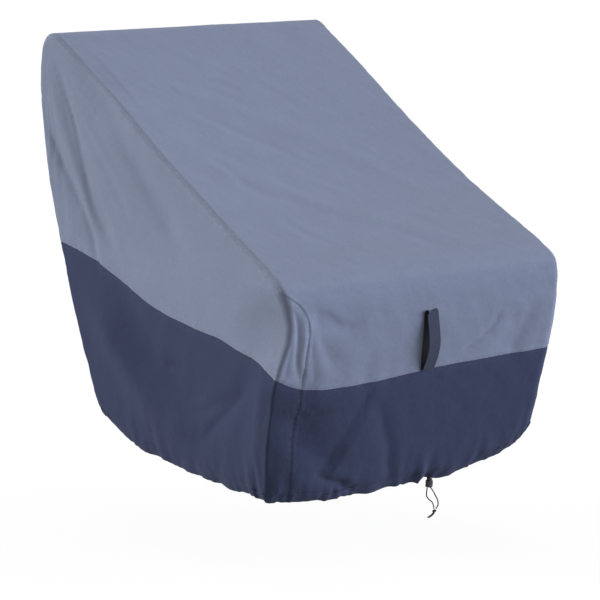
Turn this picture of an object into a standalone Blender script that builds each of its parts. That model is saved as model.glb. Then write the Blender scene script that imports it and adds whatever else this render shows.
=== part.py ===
"""Fitted two-tone cover for a high-back patio chair, in the shape it hangs in over the chair.

Metres. +X is to the right for someone who faces the front, the front faces -Y, and +Z is up.
The origin is the point just under the ridge at which the top of the chair's back carries the cover.
The cover's outer surface is worked out first, then cut along its seams into the sewn panels.
"""
import math

import bpy
import numpy as np

THICKNESS = 0.002
GAP = 0.0004

# The outline from the rear hem, over the ridge and down the slope, to the front hem.
# z differs a little between the left and the right edge. The radii round the edges to the sides:
# below the lip the left corner is crisp and the right one is full.
PROFILE = [
    # station, y, z_left, z_right, radius_left, radius_right
    ("below the rear hem", -0.176, -0.895, -0.895, 0.022, 0.022),
    ("rear hem", -0.152, -0.830, -0.830, 0.022, 0.022),
    ("rear leg", -0.126, -0.762, -0.762, 0.022, 0.022),
    ("rear leg top", -0.104, -0.700, -0.700, 0.022, 0.022),
    ("seat back", -0.080, -0.630, -0.630, 0.022, 0.022),
    ("border", -0.042, -0.500, -0.500, 0.020, 0.020),
    ("back low", -0.011, -0.425, -0.425, 0.020, 0.020),
    ("back middle", 0.019, -0.325, -0.325, 0.020, 0.020),
    ("back high", 0.039, -0.240, -0.240, 0.020, 0.020),
    ("back top", 0.050, -0.160, -0.160, 0.020, 0.020),
    ("below the ridge", 0.052, -0.090, -0.090, 0.019, 0.019),
    ("ridge rear", 0.046, -0.042, -0.042, 0.018, 0.018),
    ("ridge turn", 0.034, -0.015, -0.015, 0.016, 0.016),
    ("ridge back", 0.014, 0.001, 0.001, 0.013, 0.013),
    ("ridge", -0.007, 0.005, 0.005, 0.012, 0.012),
    ("ridge front", -0.026, 0.000, 0.000, 0.012, 0.012),
    ("slope start", -0.050, -0.012, -0.013, 0.015, 0.015),
    ("slope top", -0.093, -0.033, -0.037, 0.015, 0.015),
    ("shoulder", -0.241, -0.112, -0.126, 0.015, 0.015),
    ("upper slope", -0.315, -0.156, -0.172, 0.015, 0.015),
    ("middle slope", -0.411, -0.213, -0.229, 0.015, 0.015),
    ("lower slope", -0.544, -0.283, -0.302, 0.015, 0.015),
    ("above the arms", -0.673, -0.351, -0.363, 0.015, 0.015),
    ("slope end", -0.745, -0.388, -0.395, 0.015, 0.015),
    ("before the lip", -0.800, -0.416, -0.421, 0.016, 0.016),
    ("lip top", -0.828, -0.431, -0.437, 0.017, 0.017),
    ("lip", -0.842, -0.446, -0.451, 0.018, 0.018),
    ("lip front", -0.848, -0.467, -0.471, 0.020, 0.020),
    ("front top", -0.850, -0.510, -0.512, 0.015, 0.022),
    ("front upper", -0.846, -0.575, -0.575, 0.011, 0.028),
    ("front border", -0.838, -0.640, -0.640, 0.008, 0.034),
    ("front middle", -0.825, -0.710, -0.710, 0.008, 0.038),
    ("front low", -0.809, -0.780, -0.780, 0.008, 0.038),
    ("front leg", -0.793, -0.845, -0.845, 0.009, 0.036),
    ("front hem", -0.774, -0.905, -0.905, 0.011, 0.038),
    ("below the front hem", -0.762, -0.945, -0.945, 0.011, 0.038),
]
RIDGE = 14
LIP = 26
HALF_WIDTH = 0.36

# Half of the width at each height: straight above, drawn in toward the hem.
HALF_WIDTHS = [
    # z, half width
    (-0.950, 0.328),
    (-0.905, 0.333),
    (-0.845, 0.342),
    (-0.770, 0.351),
    (-0.700, 0.356),
    (-0.630, 0.361),
    (-0.560, 0.366),
    (-0.400, 0.365),
    (0.020, 0.364),
]

# How far in from the full width the seam runs down the front: the side panels wrap the corner.
FRONT_SEAM_INSETS = [
    # z, inset on the left, inset on the right
    (-0.935, 0.049, 0.006),
    (-0.855, 0.050, 0.006),
    (-0.800, 0.053, 0.006),
    (-0.740, 0.057, 0.006),
    (-0.700, 0.059, 0.006),
    (-0.655, 0.060, 0.006),
    (-0.590, 0.063, 0.006),
    (-0.515, 0.062, 0.006),
    (-0.480, 0.040, 0.006),
    (-0.452, 0.007, 0.006),
    (-0.430, 0.006, 0.006),
]

# Below the lip the front is drawn back toward its left corner: how far, at the corner.
CORNER_EASE = [
    # z, distance
    (-0.945, 0.022),
    (-0.905, 0.028),
    (-0.875, 0.034),
    (-0.840, 0.035),
    (-0.790, 0.034),
    (-0.750, 0.029),
    (-0.710, 0.025),
    (-0.670, 0.018),
    (-0.630, 0.009),
    (-0.590, 0.004),
    (-0.560, 0.001),
    (-0.500, 0.000),
    (-0.400, 0.000),
]
EASE_START_X = -0.16
EASE_WIDTH = 0.20
EASE_POWER = 1.8
EASE_DEPTH = 0.12

# Where the pale cloth meets the dark: a wavering line round the cover.
FRONT_BORDER = [
    # x, z
    (-0.360, -0.626),
    (-0.338, -0.637),
    (-0.318, -0.646),
    (-0.300, -0.652),
    (-0.262, -0.657),
    (-0.190, -0.658),
    (-0.116, -0.656),
    (-0.030, -0.650),
    (0.049, -0.645),
    (0.178, -0.642),
    (0.242, -0.641),
    (0.300, -0.640),
    (0.360, -0.638),
]
SIDE_BORDER = [
    # fraction from the rear edge to the front edge, z on the left, z on the right
    (0.000, -0.455, -0.462),
    (0.090, -0.465, -0.471),
    (0.160, -0.477, -0.482),
    (0.300, -0.510, -0.515),
    (0.450, -0.544, -0.545),
    (0.600, -0.561, -0.569),
    (0.680, -0.567, -0.581),
    (0.750, -0.571, -0.595),
    (0.820, -0.583, -0.605),
    (0.890, -0.593, -0.616),
    (0.930, -0.601, -0.626),
    (0.965, -0.611, -0.632),
    (1.000, -0.622, -0.638),
]
BACK_BORDER = [
    # x, z
    (-0.360, -0.455),
    (-0.180, -0.465),
    (0.060, -0.463),
    (0.220, -0.468),
    (0.360, -0.462),
]

# The hem, drawn up by its cord: lowest at the front left, higher at the right and at the back.
FRONT_HEM = [
    # x, z
    (-0.345, -0.897),
    (-0.281, -0.901),
    (-0.220, -0.905),
    (-0.130, -0.908),
    (-0.060, -0.907),
    (-0.024, -0.903),
    (0.019, -0.900),
    (0.045, -0.899),
    (0.066, -0.901),
    (0.090, -0.904),
    (0.136, -0.900),
    (0.189, -0.889),
    (0.240, -0.877),
    (0.295, -0.857),
    (0.345, -0.826),
]
SIDE_HEM = [
    # fraction from the rear edge to the front edge, z on the left, z on the right
    (0.00, -0.820, -0.826),
    (0.05, -0.838, -0.840),
    (0.12, -0.858, -0.851),
    (0.21, -0.872, -0.858),
    (0.38, -0.880, -0.866),
    (0.50, -0.887, -0.863),
    (0.68, -0.892, -0.872),
    (0.76, -0.896, -0.866),
    (0.85, -0.893, -0.868),
    (0.93, -0.892, -0.853),
    (1.00, -0.897, -0.826),
]
BACK_HEM = [
    # x, z
    (-0.345, -0.822),
    (-0.220, -0.833),
    (-0.060, -0.827),
    (0.110, -0.836),
    (0.240, -0.828),
    (0.345, -0.828),
]

# Soft folds. Each runs from its start, past its middle, to its end. A negative depth is a ridge.
FOLDS = [
    # name, start, middle, end, width, depth
    ("left fan rear", (-0.36, 0.021, -0.20), (-0.36, -0.070, -0.32), (-0.36, -0.170, -0.47), 0.022, 0.006),
    ("left fan middle", (-0.36, -0.020, -0.06), (-0.36, -0.116, -0.26), (-0.36, -0.246, -0.45), 0.022, 0.006),
    ("left fan front", (-0.36, -0.110, -0.06), (-0.36, -0.312, -0.25), (-0.36, -0.517, -0.42), 0.034, 0.007),
    ("left fan crest", (-0.36, -0.010, -0.12), (-0.36, -0.092, -0.27), (-0.36, -0.205, -0.45), 0.018, -0.004),
    ("left swag", (-0.36, -0.255, -0.53), (-0.36, -0.385, -0.655), (-0.35, -0.600, -0.715), 0.044, 0.014),
    ("left swag crest", (-0.36, -0.150, -0.56), (-0.35, -0.275, -0.69), (-0.34, -0.430, -0.80), 0.042, -0.010),
    ("left front swag", (-0.36, -0.730, -0.640), (-0.35, -0.655, -0.712), (-0.34, -0.545, -0.805), 0.026, 0.005),
    ("left front crest", (-0.36, -0.800, -0.62), (-0.35, -0.780, -0.74), (-0.34, -0.735, -0.86), 0.028, -0.003),
    ("left corner pleat", (-0.344, -0.84, -0.48), (-0.326, -0.84, -0.57), (-0.302, -0.83, -0.64), 0.012, 0.003),
    ("left corner crest", (-0.318, -0.84, -0.50), (-0.313, -0.84, -0.57), (-0.306, -0.84, -0.62), 0.010, -0.002),
    ("front left dip", (-0.286, -0.82, -0.72), (-0.244, -0.81, -0.785), (-0.170, -0.79, -0.838), 0.030, 0.003),
    ("front middle dip", (-0.095, -0.82, -0.71), (-0.062, -0.80, -0.80), (-0.042, -0.78, -0.88), 0.018, 0.002),
    ("front hem dip", (-0.280, -0.79, -0.83), (-0.215, -0.78, -0.85), (-0.180, -0.77, -0.89), 0.018, 0.002),
    ("front crease", (-0.291, -0.84, -0.50), (-0.232, -0.84, -0.53), (-0.150, -0.84, -0.52), 0.020, 0.004),
    ("front slant", (-0.268, -0.84, -0.53), (-0.233, -0.84, -0.59), (-0.198, -0.84, -0.63), 0.020, 0.002),
    ("front right slant", (0.240, -0.84, -0.56), (0.230, -0.84, -0.595), (0.200, -0.84, -0.632), 0.018, 0.003),
    ("right corner fold", (0.295, -0.84, -0.54), (0.258, -0.84, -0.60), (0.226, -0.83, -0.65), 0.020, 0.003),
    ("slope upper pull", (-0.250, -0.20, -0.10), (0.020, -0.36, -0.19), (0.240, -0.62, -0.34), 0.030, -0.002),
    ("slope lower pull", (-0.300, -0.42, -0.22), (-0.080, -0.60, -0.32), (0.200, -0.78, -0.41), 0.030, -0.002),
    ("right fan rear", (0.36, 0.015, -0.18), (0.36, -0.090, -0.31), (0.36, -0.190, -0.46), 0.026, 0.008),
    ("right fan front", (0.36, -0.080, -0.08), (0.36, -0.250, -0.26), (0.36, -0.430, -0.43), 0.034, 0.009),
    ("right swag", (0.36, -0.130, -0.60), (0.35, -0.330, -0.75), (0.35, -0.640, -0.72), 0.036, 0.009),
    ("right front swag", (0.36, -0.700, -0.66), (0.35, -0.640, -0.76), (0.34, -0.540, -0.81), 0.028, 0.006),
    ("back left swag", (-0.28, 0.03, -0.18), (-0.10, 0.00, -0.36), (0.06, -0.02, -0.42), 0.036, 0.007),
    ("back right swag", (0.27, 0.03, -0.22), (0.12, 0.00, -0.38), (-0.02, -0.05, -0.52), 0.036, 0.007),
    ("back hem dip left", (-0.16, -0.08, -0.60), (-0.15, -0.12, -0.70), (-0.18, -0.16, -0.81), 0.030, 0.007),
    ("back hem dip right", (0.19, -0.08, -0.58), (0.16, -0.12, -0.70), (0.17, -0.16, -0.81), 0.030, 0.007),
]
SLOPE_SAG = 0.008
SLOPE_START_Y = -0.03
SLOPE_REACH = 0.78
SLOPE_LOWEST = -0.50
SIDE_SAG = 0.006
SIDE_SAG_CENTRE = (-0.32, -0.42)
SIDE_SAG_REACH = (0.20, 0.13)
HEM_CURL = 0.008
HEM_CURL_HEIGHT = 0.040
HEM_WAVE = 0.0022
HEM_WAVE_LENGTH = 0.105
HEM_CENTRE_Y = -0.47
HEM_MEAN_RADIUS = 0.42

BACK_ROWS = 10
SLOPE_ROWS = 22
LOWER_ROWS = 6
WRAP_COLUMNS = 4
STRIP_COLUMNS = 14

HANDLE_X = 0.011
HANDLE_WIDTH = 0.030
HANDLE_BACK_SHIFT = -0.003
HANDLE_TOP = -0.526
HANDLE_BOTTOM = -0.6465
HANDLE_BOW = 0.0135
HANDLE_THICKNESS = 0.0018
HANDLE_STEPS = 22
HANDLE_BACK_POINTS = 8
HANDLE_BACK_OUT = 0.0016

LOCK_PLACE = (0.0650, -0.7830, -0.9020)
LOCK_LEAN = math.radians(-4.0)
LOCK_STEPS = 16
LOCK_BOTTOM = -0.0110
CORD_EXIT = 0.0046
CORD_DIAMETER = 0.0026
KNOT_PLACE = (0.0793, -0.7830, -0.9665)


def column(table, index):
    return np.array([row[index] for row in table], float)


def smooth_read(at, stations, values):
    """Reads a smooth curve that passes through the values, without swinging past them."""
    at = np.clip(np.asarray(at, float), stations[0], stations[-1])
    steps = np.diff(stations)
    slopes = np.diff(values) / steps
    tangents = np.empty(len(values))
    tangents[0] = slopes[0]
    tangents[-1] = slopes[-1]
    tangents[1:-1] = (slopes[:-1] * steps[1:] + slopes[1:] * steps[:-1]) / (steps[1:] + steps[:-1])
    place = np.clip(np.searchsorted(stations, at, side="right") - 1, 0, len(steps) - 1)
    part = (at - stations[place]) / steps[place]
    rise = steps[place]
    return (
        values[place] * (1 + 2 * part) * (1 - part) ** 2
        + tangents[place] * rise * part * (1 - part) ** 2
        + values[place + 1] * part**2 * (3 - 2 * part)
        + tangents[place + 1] * rise * part**2 * (part - 1)
    )


Y = column(PROFILE, 1)
Z_LEFT = column(PROFILE, 2)
Z_RIGHT = column(PROFILE, 3)
RADIUS_LEFT = column(PROFILE, 4)
RADIUS_RIGHT = column(PROFILE, 5)
Z_MIDDLE = (Z_LEFT + Z_RIGHT) / 2
RUN = np.concatenate([[0.0], np.cumsum(np.hypot(np.diff(Y), np.diff(Z_MIDDLE)))])
RIDGE_RUN = RUN[RIDGE]
LIP_RUN = RUN[LIP]
FINE_RUN = np.linspace(0.0, RUN[-1], 4001)
FINE_Z = smooth_read(FINE_RUN, RUN, Z_MIDDLE)


def half_width(z):
    return smooth_read(z, column(HALF_WIDTHS, 0), column(HALF_WIDTHS, 1))


def profile_point(run, side):
    """y and z on the outline. side is -1 at the left edge and 1 at the right edge."""
    left = smooth_read(run, RUN, Z_LEFT)
    right = smooth_read(run, RUN, Z_RIGHT)
    return smooth_read(run, RUN, Y), left + (right - left) * (side + 1) / 2


def profile_normal(run):
    """The outward direction in the plane of the outline."""
    step = 0.0015
    low = np.clip(run - step, 0, RUN[-1])
    high = np.clip(run + step, 0, RUN[-1])
    along_y = smooth_read(high, RUN, Y) - smooth_read(low, RUN, Y)
    along_z = smooth_read(high, RUN, Z_MIDDLE) - smooth_read(low, RUN, Z_MIDDLE)
    length = np.hypot(along_y, along_z)
    return along_z / length, -along_y / length


def run_at_back(z):
    rear = FINE_RUN <= RIDGE_RUN
    return np.interp(z, FINE_Z[rear], FINE_RUN[rear])


def run_at_front(z):
    front = FINE_RUN >= LIP_RUN
    return np.interp(-np.asarray(z), -FINE_Z[front], FINE_RUN[front])


def edge_frame(run, side):
    """What the rounded edge between the strip and a side needs: radius, half width, point, normal."""
    left = smooth_read(run, RUN, RADIUS_LEFT)
    right = smooth_read(run, RUN, RADIUS_RIGHT)
    radius = np.where(np.asarray(side) < 0, left, right)
    normal_y, normal_z = profile_normal(run)
    y, z = profile_point(run, side)
    return radius, half_width(z - normal_z * radius), y, z, normal_y, normal_z


def on_section(run, across):
    """Points and outward normals at a signed distance across the surface from its centre line."""
    sign = np.where(across < 0, -1.0, 1.0)
    radius, width, y, z, normal_y, normal_z = edge_frame(run, np.clip(across / HALF_WIDTH, -1, 1))
    flat = width - radius
    beyond = np.maximum(np.abs(across) - flat, 0.0)
    turn = np.minimum(beyond / radius, math.pi / 2)
    x = sign * (np.minimum(np.abs(across), flat) + radius * np.sin(turn))
    depth = radius * (1 - np.cos(turn)) + np.maximum(beyond - radius * math.pi / 2, 0.0)
    points = np.stack([x, y - normal_y * depth, z - normal_z * depth], axis=-1)
    normals = np.stack([sign * np.sin(turn), normal_y * np.cos(turn), normal_z * np.cos(turn)], axis=-1)
    return points, normals


def seam_across(run, side):
    """How far from the centre line, along the surface, the seam between strip and side lies."""
    radius, width, _, z, _, _ = edge_frame(run, side)
    left = smooth_read(z, column(FRONT_SEAM_INSETS, 0), column(FRONT_SEAM_INSETS, 1))
    right = smooth_read(z, column(FRONT_SEAM_INSETS, 0), column(FRONT_SEAM_INSETS, 2))
    inset = np.where(
        run > LIP_RUN,
        np.where(np.asarray(side) < 0, left, right),
        0.29 * radius,
    )
    reach = np.clip((radius - inset) / radius, 0.0, 1.0)
    return np.where(inset < radius, width - radius + radius * np.arcsin(reach), width - inset)


def side_across(run, side):
    """The distance from the centre line at which the surface has turned into the side."""
    radius, width, _, _, _, _ = edge_frame(run, side)
    return width - radius + radius * math.pi / 2


def eased(count, power):
    """Fractions from 0 to 1 that crowd together toward 1."""
    return 1 - (1 - np.linspace(0, 1, count + 1)) ** power


def ends_eased(count):
    """Fractions from 0 to 1 that crowd together at both ends."""
    even = np.linspace(0, 1, count + 1)
    return even - 0.11 * np.sin(2 * math.pi * even)


def fold_path(start, middle, end):
    """Points along the curve of a fold, and how strong it is at each."""
    part = np.linspace(0, 1, 25)[:, None]
    start, middle, end = (np.array(point) for point in (start, middle, end))
    bend = 2 * middle - (start + end) / 2
    path = start * (1 - part) ** 2 + bend * 2 * part * (1 - part) + end * part**2
    return path, np.clip(np.sin(math.pi * part[:, 0]) * 1.5 + 0.12, 0, 1)


def fold_depth(points):
    """How far the folds push the cloth in at each point."""
    total = np.zeros(points.shape[:-1])
    for _, start, middle, end, width, depth in FOLDS:
        path, strength = fold_path(start, middle, end)
        away = np.linalg.norm(points[..., None, :] - path, axis=-1)
        total += depth * np.max(strength * np.exp(-((away / width) ** 2)), axis=-1)
    return total


def hem_shape(points, above_hem):
    """The hem turns in under the pull of its cord, in uneven gathers."""
    near = np.clip(1 - above_hem / HEM_CURL_HEIGHT, 0, 1)
    around = np.arctan2(points[..., 0], points[..., 1] - HEM_CENTRE_Y) * HEM_MEAN_RADIUS
    wave = np.sin(2 * math.pi * around / HEM_WAVE_LENGTH + 1.7 * np.sin(around * 9))
    return HEM_CURL * near**2 + HEM_WAVE * wave * near


def sag(points, normals):
    """The slope sags between its edges, and the upper sides sink a little between theirs."""
    x, y, z = points[..., 0], points[..., 1], points[..., 2]
    along = np.clip((SLOPE_START_Y - y) / SLOPE_REACH, 0, 1)
    slope = SLOPE_SAG * np.clip(1 - (x / HALF_WIDTH) ** 2, 0, 1) * np.sin(math.pi * along) * (z > SLOPE_LOWEST)
    off_y = (y - SIDE_SAG_CENTRE[0]) / SIDE_SAG_REACH[0]
    off_z = (z - SIDE_SAG_CENTRE[1]) / SIDE_SAG_REACH[1]
    middle = np.exp(-(off_y**2) - off_z**2)
    side = SIDE_SAG * middle * np.clip(np.abs(normals[..., 0]), 0, 1) ** 2
    return slope + side


def corner_ease(points):
    """How far back the front's left corner is drawn at each point."""
    x, y, z = points[..., 0], points[..., 1], points[..., 2]
    front_y = smooth_read(run_at_front(z), RUN, Y)
    across = np.clip((EASE_START_X - x) / EASE_WIDTH, 0, 1) ** EASE_POWER
    near = np.clip(1 - (y - front_y) / EASE_DEPTH, 0, 1)
    return smooth_read(z, column(CORNER_EASE, 0), column(CORNER_EASE, 1)) * across * near**2 * (3 - 2 * near)


def hang(points, normals, above_hem):
    """Moves the plain surface in or out to the shape in which the cloth hangs."""
    push = fold_depth(points) + hem_shape(points, above_hem) + sag(points, normals)
    hung = points - normals * push[..., None]
    hung[..., 1] += corner_ease(points)
    return hung


def border_run(x, at_front):
    if at_front:
        return run_at_front(smooth_read(x, column(FRONT_BORDER, 0), column(FRONT_BORDER, 1)))
    return run_at_back(smooth_read(x, column(BACK_BORDER, 0), column(BACK_BORDER, 1)))


def hem_run(x, at_front):
    if at_front:
        return run_at_front(smooth_read(x, column(FRONT_HEM, 0), column(FRONT_HEM, 1)))
    return run_at_back(smooth_read(x, column(BACK_HEM, 0), column(BACK_HEM, 1)))


def strip_fractions():
    """Column places across the strip, closer together over the rounded edges."""
    inner = np.linspace(0, 0.945, STRIP_COLUMNS // 2 + 1)
    half = np.concatenate([inner, [0.967, 0.984, 1.0]])
    return np.concatenate([-half[:0:-1], half])


def strip_panel(rows_at):
    """A panel of the centre strip. rows_at gives each row's runs from the columns' x."""
    share = strip_fractions()
    guess = share * HALF_WIDTH
    run, above = rows_at(guess)
    for _ in range(3):
        edge = seam_across(run, np.sign(share)) - GAP / 2
        guess = on_section(run, share * edge)[0][..., 0]
        run, above = rows_at(guess)
    points, normals = on_section(run, share * (seam_across(run, np.sign(share)) - GAP / 2))
    return points, normals, above


def top_rows(x):
    """Rows of the pale strip: up the back, down the slope and down to the front border."""
    x = np.broadcast_to(x, (2 * BACK_ROWS + SLOPE_ROWS + 1, x.shape[-1]))
    rear = border_run(x[: BACK_ROWS], False) + GAP / 2
    rising = eased(BACK_ROWS, 1.7)[:-1, None]
    slope = ends_eased(SLOPE_ROWS)[:, None]
    front = border_run(x[BACK_ROWS + SLOPE_ROWS + 1:], True) - GAP / 2
    falling = 1 - eased(BACK_ROWS, 1.7)[-2::-1, None]
    run = np.concatenate(
        [
            rear + (RIDGE_RUN - rear) * rising,
            RIDGE_RUN + (LIP_RUN - RIDGE_RUN) * slope + 0 * x[: SLOPE_ROWS + 1],
            LIP_RUN + (front - LIP_RUN) * falling,
        ]
    )
    return run, np.full(run.shape, 1.0)


def lower_rows(x, at_front):
    """Rows of a dark panel of the strip, from the hem up to the border."""
    x = np.broadcast_to(x, (LOWER_ROWS + 1, x.shape[-1]))
    hem = hem_run(x, at_front)
    border = border_run(x, at_front) + (GAP / 2 if at_front else -GAP / 2)
    run = hem + (border - hem) * lower_shares()[:, None]
    return run, np.abs(run - hem)


def lower_shares():
    """Row places from the hem up to the border, closer together at the hem."""
    return np.linspace(0, 1, LOWER_ROWS + 1) ** 1.5


def edge_of_side(run, sign):
    points, _ = on_section(run, sign * side_across(run, sign))
    return points[..., 1:]


def fill(bottom, top, rear, front):
    """A smooth grid of (y, z) between four edge curves, as (rows up, columns to the front)."""
    up = np.concatenate([[0], np.cumsum(np.linalg.norm(np.diff(rear, axis=0), axis=1))])
    up = (up / up[-1])[:, None, None]
    along = np.concatenate([[0], np.cumsum(np.linalg.norm(np.diff(top, axis=0), axis=1))])
    along = (along / along[-1])[None, :, None]
    corners = (
        (1 - up) * (1 - along) * bottom[0]
        + (1 - up) * along * bottom[-1]
        + up * (1 - along) * top[0]
        + up * along * top[-1]
    )
    between_rows = (1 - up) * bottom[None] + up * top[None]
    between_columns = (1 - along) * rear[:, None] + along * front[:, None]
    return between_rows + between_columns - corners


def line_on_side(rear, front, table, sign):
    """A border or hem line across the side, from its rear point to its front point."""
    share = ends_eased(SLOPE_ROWS)
    z = smooth_read(share, column(table, 0), column(table, 1 if sign < 0 else 2))
    z += (rear[1] - z[0]) * (1 - share) + (front[1] - z[-1]) * share
    return np.stack([rear[0] + (front[0] - rear[0]) * share, z], axis=-1)


def side_grid(flat, sign):
    x = sign * half_width(flat[..., 1])
    points = np.concatenate([x[..., None], flat], axis=-1)
    normals = np.zeros(points.shape)
    normals[..., 0] = sign
    return points, normals


def wrap(runs_at, sign, layers):
    """The strip of a side panel that turns the corner, out to the seam, with closer columns in the turn."""
    share = np.linspace(0, 1, layers + 1)[1:, None] ** 1.4
    run = runs_at(sign * HALF_WIDTH)
    x = np.full((layers, len(run)), sign * HALF_WIDTH)
    for _ in range(3):
        run = np.stack([runs_at(row) for row in x])
        start = side_across(run, sign)
        end = seam_across(run, sign) + GAP / 2
        points, normals = on_section(run, sign * (start + (end - start) * share))
        x = points[..., 0]
    return points, normals, run


def upper_side_runs(x):
    """Runs along the three sewn edges of a pale side: up the back, down the slope, down the front."""
    edge = np.broadcast_to(x, (2 * BACK_ROWS + SLOPE_ROWS + 1,))
    rear = border_run(edge[: BACK_ROWS], False) + GAP / 2
    front = border_run(edge[BACK_ROWS + SLOPE_ROWS + 1:], True) - GAP / 2
    return np.concatenate(
        [
            rear + (RIDGE_RUN - rear) * eased(BACK_ROWS, 1.7)[:-1],
            RIDGE_RUN + (LIP_RUN - RIDGE_RUN) * ends_eased(SLOPE_ROWS),
            LIP_RUN + (front - LIP_RUN) * (1 - eased(BACK_ROWS, 1.7)[-2::-1]),
        ]
    )


def lower_side_runs(x, at_front):
    """Runs along a sewn edge of a dark side, from the hem up to the border."""
    edge = np.broadcast_to(x, (LOWER_ROWS + 1,))
    hem = hem_run(edge, at_front)
    border = border_run(edge, at_front) + (GAP / 2 if at_front else -GAP / 2)
    return hem + (border - hem) * lower_shares()


def solid(name, sheets, material):
    """One closed mesh from grids of (points, normals, above_hem) that share their edges."""
    outer = []
    inner = []
    quads = []
    place = {}

    def vertex(point, normal):
        key = tuple(np.round(point, 6))
        if key not in place:
            place[key] = len(outer)
            outer.append(point)
            inner.append(point - normal * THICKNESS)
        return place[key]

    for points, normals, above in sheets:
        hung = hang(points, normals, above)
        facing = np.cross(hung[:-1, 1:] - hung[:-1, :-1], hung[1:, :-1] - hung[:-1, :-1])
        flipped = np.sum(facing * normals[:-1, :-1]) < 0
        index = np.empty(points.shape[:-1], int)
        for at in np.ndindex(index.shape):
            index[at] = vertex(hung[at], normals[at])
        for row in range(index.shape[0] - 1):
            for col in range(index.shape[1] - 1):
                quad = [index[row, col], index[row, col + 1], index[row + 1, col + 1], index[row + 1, col]]
                quads.append(quad[::-1] if flipped else quad)
    count = len(outer)
    edges = {}
    for quad in quads:
        for near, far in zip(quad, quad[1:] + quad[:1]):
            edges[(near, far)] = edges.get((near, far), 0) + 1
    faces = list(quads)
    faces += [[corner + count for corner in quad[::-1]] for quad in quads]
    for near, far in edges:
        if (far, near) not in edges:
            faces.append([far, near, near + count, far + count])
    return add_mesh(name, outer + inner, faces, material)


def add_mesh(name, points, faces, material):
    mesh = bpy.data.meshes.new(name)
    mesh.from_pydata([tuple(map(float, point)) for point in points], [], faces)
    mesh.validate()
    mesh.update()
    mesh.shade_smooth()
    mesh.set_sharp_from_angle(angle=math.radians(50))
    mesh.materials.append(material)
    node = bpy.data.objects.new(name, mesh)
    bpy.context.scene.collection.objects.link(node)
    return node


def finish_of(name, colour, roughness):
    material = bpy.data.materials.new(name)
    material.use_nodes = True
    surface = material.node_tree.nodes["Principled BSDF"]
    surface.inputs["Base Color"].default_value = (*colour, 1)
    surface.inputs["Roughness"].default_value = roughness
    material.diffuse_color = (*colour, 1)
    return material


def side_panels(sign, pale, dark):
    side = "left" if sign < 0 else "right"
    runs = upper_side_runs(sign * HALF_WIDTH)
    edge = edge_of_side(runs, sign)
    rear = edge[: BACK_ROWS + 1]
    top = edge[BACK_ROWS: BACK_ROWS + SLOPE_ROWS + 1]
    front = edge[BACK_ROWS + SLOPE_ROWS:][::-1]
    border = line_on_side(rear[0], front[0], SIDE_BORDER, sign)
    points, normals = side_grid(fill(border, top, rear, front), sign)
    # The rim that turns the corner starts on the grid's own rear, top and front edges.
    rim = np.concatenate([points[:-1, 0], points[-1, :-1], points[::-1, -1]])
    rim_normals = np.zeros(rim.shape)
    rim_normals[:, 0] = sign
    turned, turned_normals, _ = wrap(upper_side_runs, sign, WRAP_COLUMNS)
    turned = np.concatenate([rim[None], turned])
    turned_normals = np.concatenate([rim_normals[None], turned_normals])
    high = np.full(points.shape[:2], 1.0)
    rim_high = np.full(turned.shape[:2], 1.0)
    sheets = [(points, normals, high), (turned, turned_normals, rim_high)]
    solid("side_upper_" + side, sheets, pale)

    rear_runs = lower_side_runs(sign * HALF_WIDTH, False)
    front_runs = lower_side_runs(sign * HALF_WIDTH, True)
    rear = edge_of_side(rear_runs, sign)
    front = edge_of_side(front_runs, sign)
    below = border - [0, GAP]
    below[0] = rear[-1]
    below[-1] = front[-1]
    hem = line_on_side(rear[0], front[0], SIDE_HEM, sign)
    grid = fill(hem, below, rear, front)
    points, normals = side_grid(grid, sign)
    above = np.linalg.norm(grid - grid[:1], axis=-1)
    sheets = [(points, normals, above)]
    for at_front in (False, True):
        turned, turned_normals, run = wrap(
            lambda x, at_front=at_front: lower_side_runs(x, at_front), sign, WRAP_COLUMNS
        )
        col = -1 if at_front else 0
        rim_normals = np.zeros(points[:, col].shape)
        rim_normals[:, 0] = sign
        turned = np.concatenate([points[None, :, col], turned])
        turned_normals = np.concatenate([rim_normals[None], turned_normals])
        rim_above = np.concatenate([above[None, :, col], np.abs(run - run[:, :1])])
        sheets.append((turned, turned_normals, rim_above))
    solid("side_lower_" + side, sheets, dark)


def strip_panels(pale, dark):
    points, normals, above = strip_panel(top_rows)
    solid("top_panel", [(points, normals, above)], pale)
    points, normals, above = strip_panel(lambda x: lower_rows(x, True))
    solid("front_lower", [(points, normals, above)], dark)
    points, normals, above = strip_panel(lambda x: lower_rows(x, False))
    solid("back_lower", [(points, normals, above)], dark)


def front_surface(x, z):
    """A point of the finished front at this place, and its outward normal."""
    points, normals = on_section(run_at_front(np.array([z])), np.array([x]))
    return hang(points, normals, np.ones(1))[0], normals[0]


def handle_path():
    """The loop's path as (distance out from the front, z, sideways shift): up the front, then down again."""
    rise = HANDLE_TOP - HANDLE_BOTTOM
    up = np.linspace(0, 1, HANDLE_BACK_POINTS)
    back = np.stack([0 * up + HANDLE_BACK_OUT, HANDLE_BOTTOM + rise * up, 0 * up + HANDLE_BACK_SHIFT], axis=-1)
    turn = np.array(
        [
            (0.0024, HANDLE_TOP + 0.0022, HANDLE_BACK_SHIFT * 0.8),
            (0.0040, HANDLE_TOP + 0.0026, HANDLE_BACK_SHIFT * 0.5),
            (0.0054, HANDLE_TOP + 0.0010, HANDLE_BACK_SHIFT * 0.2),
        ]
    )
    down = np.linspace(0, 1, HANDLE_STEPS)
    bow = HANDLE_BOW * np.sin(math.pi * down**1.2) ** 1.1
    out = 0.0056 - 0.0012 * down + bow
    front = np.stack([out, HANDLE_TOP - 0.0012 - (rise - 0.0012) * down, 0 * down], axis=-1)
    return np.concatenate([back, turn, front])


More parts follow.
